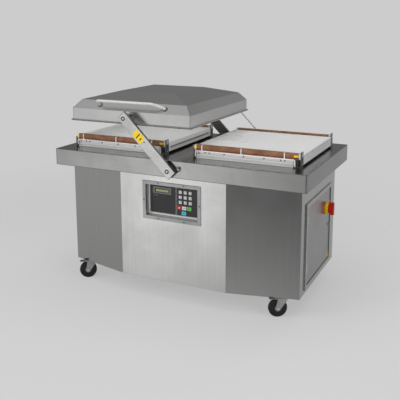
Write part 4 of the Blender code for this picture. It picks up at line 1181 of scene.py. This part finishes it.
# painted shade: a black slab at the louvre's open side for the dark inside of the slot
mouth = block("louvre_mouth", (-LOUVRE[0] / 2 + 0.004, 0.0006, -LOUVRE[2] / 2 - 0.0007),
    (LOUVRE[0] / 2 - 0.004, LOUVRE[1] - 0.0022, -LOUVRE[2] / 2 + 0.0006), 0.0003, 1)
louvre_spots = []
for column in range(2):
    for step in range(7):
        louvre_spots.append(("rear", Matrix.Translation((-0.42 + column * 0.18, rear_high.y,
            0.27 + step * 0.032))))
left_low, left_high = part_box("side_panel_left")
to_left = Matrix.Rotation(math.radians(90), 4, "Z")
for step in range(7):
    louvre_spots.append(("side", Matrix.Translation((left_low.x, 0.16, 0.27 + step * 0.032)) @ to_left))
put(first, upright_steel, "cabinet")
put(mouth, black_plastic, "cabinet")
for index, (label, place) in enumerate(louvre_spots[1:], 1):
    copy_of(first, f"louvre_{label}_{index}", place, "cabinet")
    copy_of(mouth, f"louvre_mouth_{label}_{index}", place, "cabinet")
for shaped in (first, mouth):
    shaped.data.transform(louvre_spots[0][1])
print("louvres", len(louvre_spots))

# %% [markdown]
# Screws hold the rear sheet round its edge, and a blank plate stands beside the mains inlet.

# %% Rear sheet screws, plate and gland nut
for index, x in enumerate((-0.79, -0.40, 0.0, 0.40, 0.79)):
    for label, z in (("low", rear_low.z + 0.020), ("high", rear_high.z - 0.030)):
        pan_screw(f"rear_screw_{label}_{index}", (x, rear_high.y - 0.0001, z), (0, 1, 0), 0.0052,
            bright_screw, "cabinet")
gland_low, gland_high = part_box("cable_gland")
gland_x, gland_z = (gland_low.x + gland_high.x) / 2, (gland_low.z + gland_high.z) / 2
put(turned("gland_nut", (gland_x, rear_high.y + 0.0085, gland_z), (0, 1, 0),
    ((0.0170, 0), (0.0178, 0.0010), (0.0178, 0.0090), (0.0160, 0.0105), (0.0145, 0.0108)), 8),
    black_plastic, "cabinet", 25)
plate = flat("rear_blank_plate", ((-0.045, -0.028), (0.045, -0.028), (0.045, 0.028), (-0.045, 0.028)),
    0.0008, 0.004)
plate.data.transform(Matrix.Translation((gland_x - 0.12, rear_high.y + 0.0001,
    gland_z + 0.02)) @ Matrix.Rotation(math.radians(-90), 4, "X"))
put(plate, bar_aluminium, "cabinet")

# %% [markdown]
# ## Behind the door
# Inside, the pump's motor has cooling fins and a fan cowl, the pump body an oil glass and a
# filler cap, and a steel suction pipe climbs to the worktop.

# %% Pump fittings
pump_low, pump_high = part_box("vacuum_pump")
MOTOR_Y, MOTOR_Z, MOTOR_R = 0.040, 0.309, 0.080
fin = block("motor_fin", (0.0, -0.0014, MOTOR_R - 0.003), (0.200, 0.0014, MOTOR_R + 0.011), 0.0006, 1)
fin_place = Matrix.Translation((-0.030, MOTOR_Y, MOTOR_Z))
put(fin, pump_paint, "cabinet")
for index in range(1, 22):
    angle = math.radians(-160 + index * (320 / 22))
    copy_of(fin, f"motor_fin_{index}", fin_place @ Matrix.Rotation(angle, 4, "X"), "cabinet")
fin.data.transform(fin_place @ Matrix.Rotation(math.radians(-160), 4, "X"))
put(turned("fan_cowl", (0.185, MOTOR_Y, MOTOR_Z), (1, 0, 0), ((0.0920, 0), (0.0945, 0.0030),
    (0.0945, 0.0500), (0.0880, 0.0600), (0.0600, 0.0620), (0.0580, 0.0605), (0.0400, 0.0605),
    (0.0380, 0.0620), (0.0200, 0.0620)), 48), pump_paint, "cabinet")
terminal = block("terminal_box", (0.02, MOTOR_Y - 0.045, MOTOR_Z + MOTOR_R - 0.004),
    (0.12, MOTOR_Y + 0.045, MOTOR_Z + MOTOR_R + 0.045), 0.004, 3)
put(terminal, black_plastic, "cabinet")
put(turned("oil_glass", (-0.18, pump_low.y, MOTOR_Z - 0.03), (0, -1, 0),
    ((0.022, 0), (0.022, 0.006), (0.018, 0.008), (0.015, 0.008), (0.014, 0.005)), 28), bright_screw,
    "cabinet")
for index in range(6):
    angle = math.radians(60 * index)
    hex_bolt(f"filter_bolt_{index}", (-0.18 + 0.040 * math.cos(angle), MOTOR_Y + 0.040 * math.sin(angle),
        pump_high.z - 0.0004), (0, 0, 1), 0.0060, bright_screw, "cabinet")
suction = [(-0.270, 0.100, 0.415), (-0.270, 0.100, 0.520), (-0.276, 0.100, 0.545), (-0.295, 0.100, 0.570),
    (-0.410, 0.100, 0.690), (-0.432, 0.100, 0.722), (-0.440, 0.100, 0.760), (-0.440, 0.100, 0.948)]
put(pipe("suction_pipe", suction, 0.016, 6), satin_steel, "cabinet", 60)
print("pump fittings done")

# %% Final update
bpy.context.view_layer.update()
only()
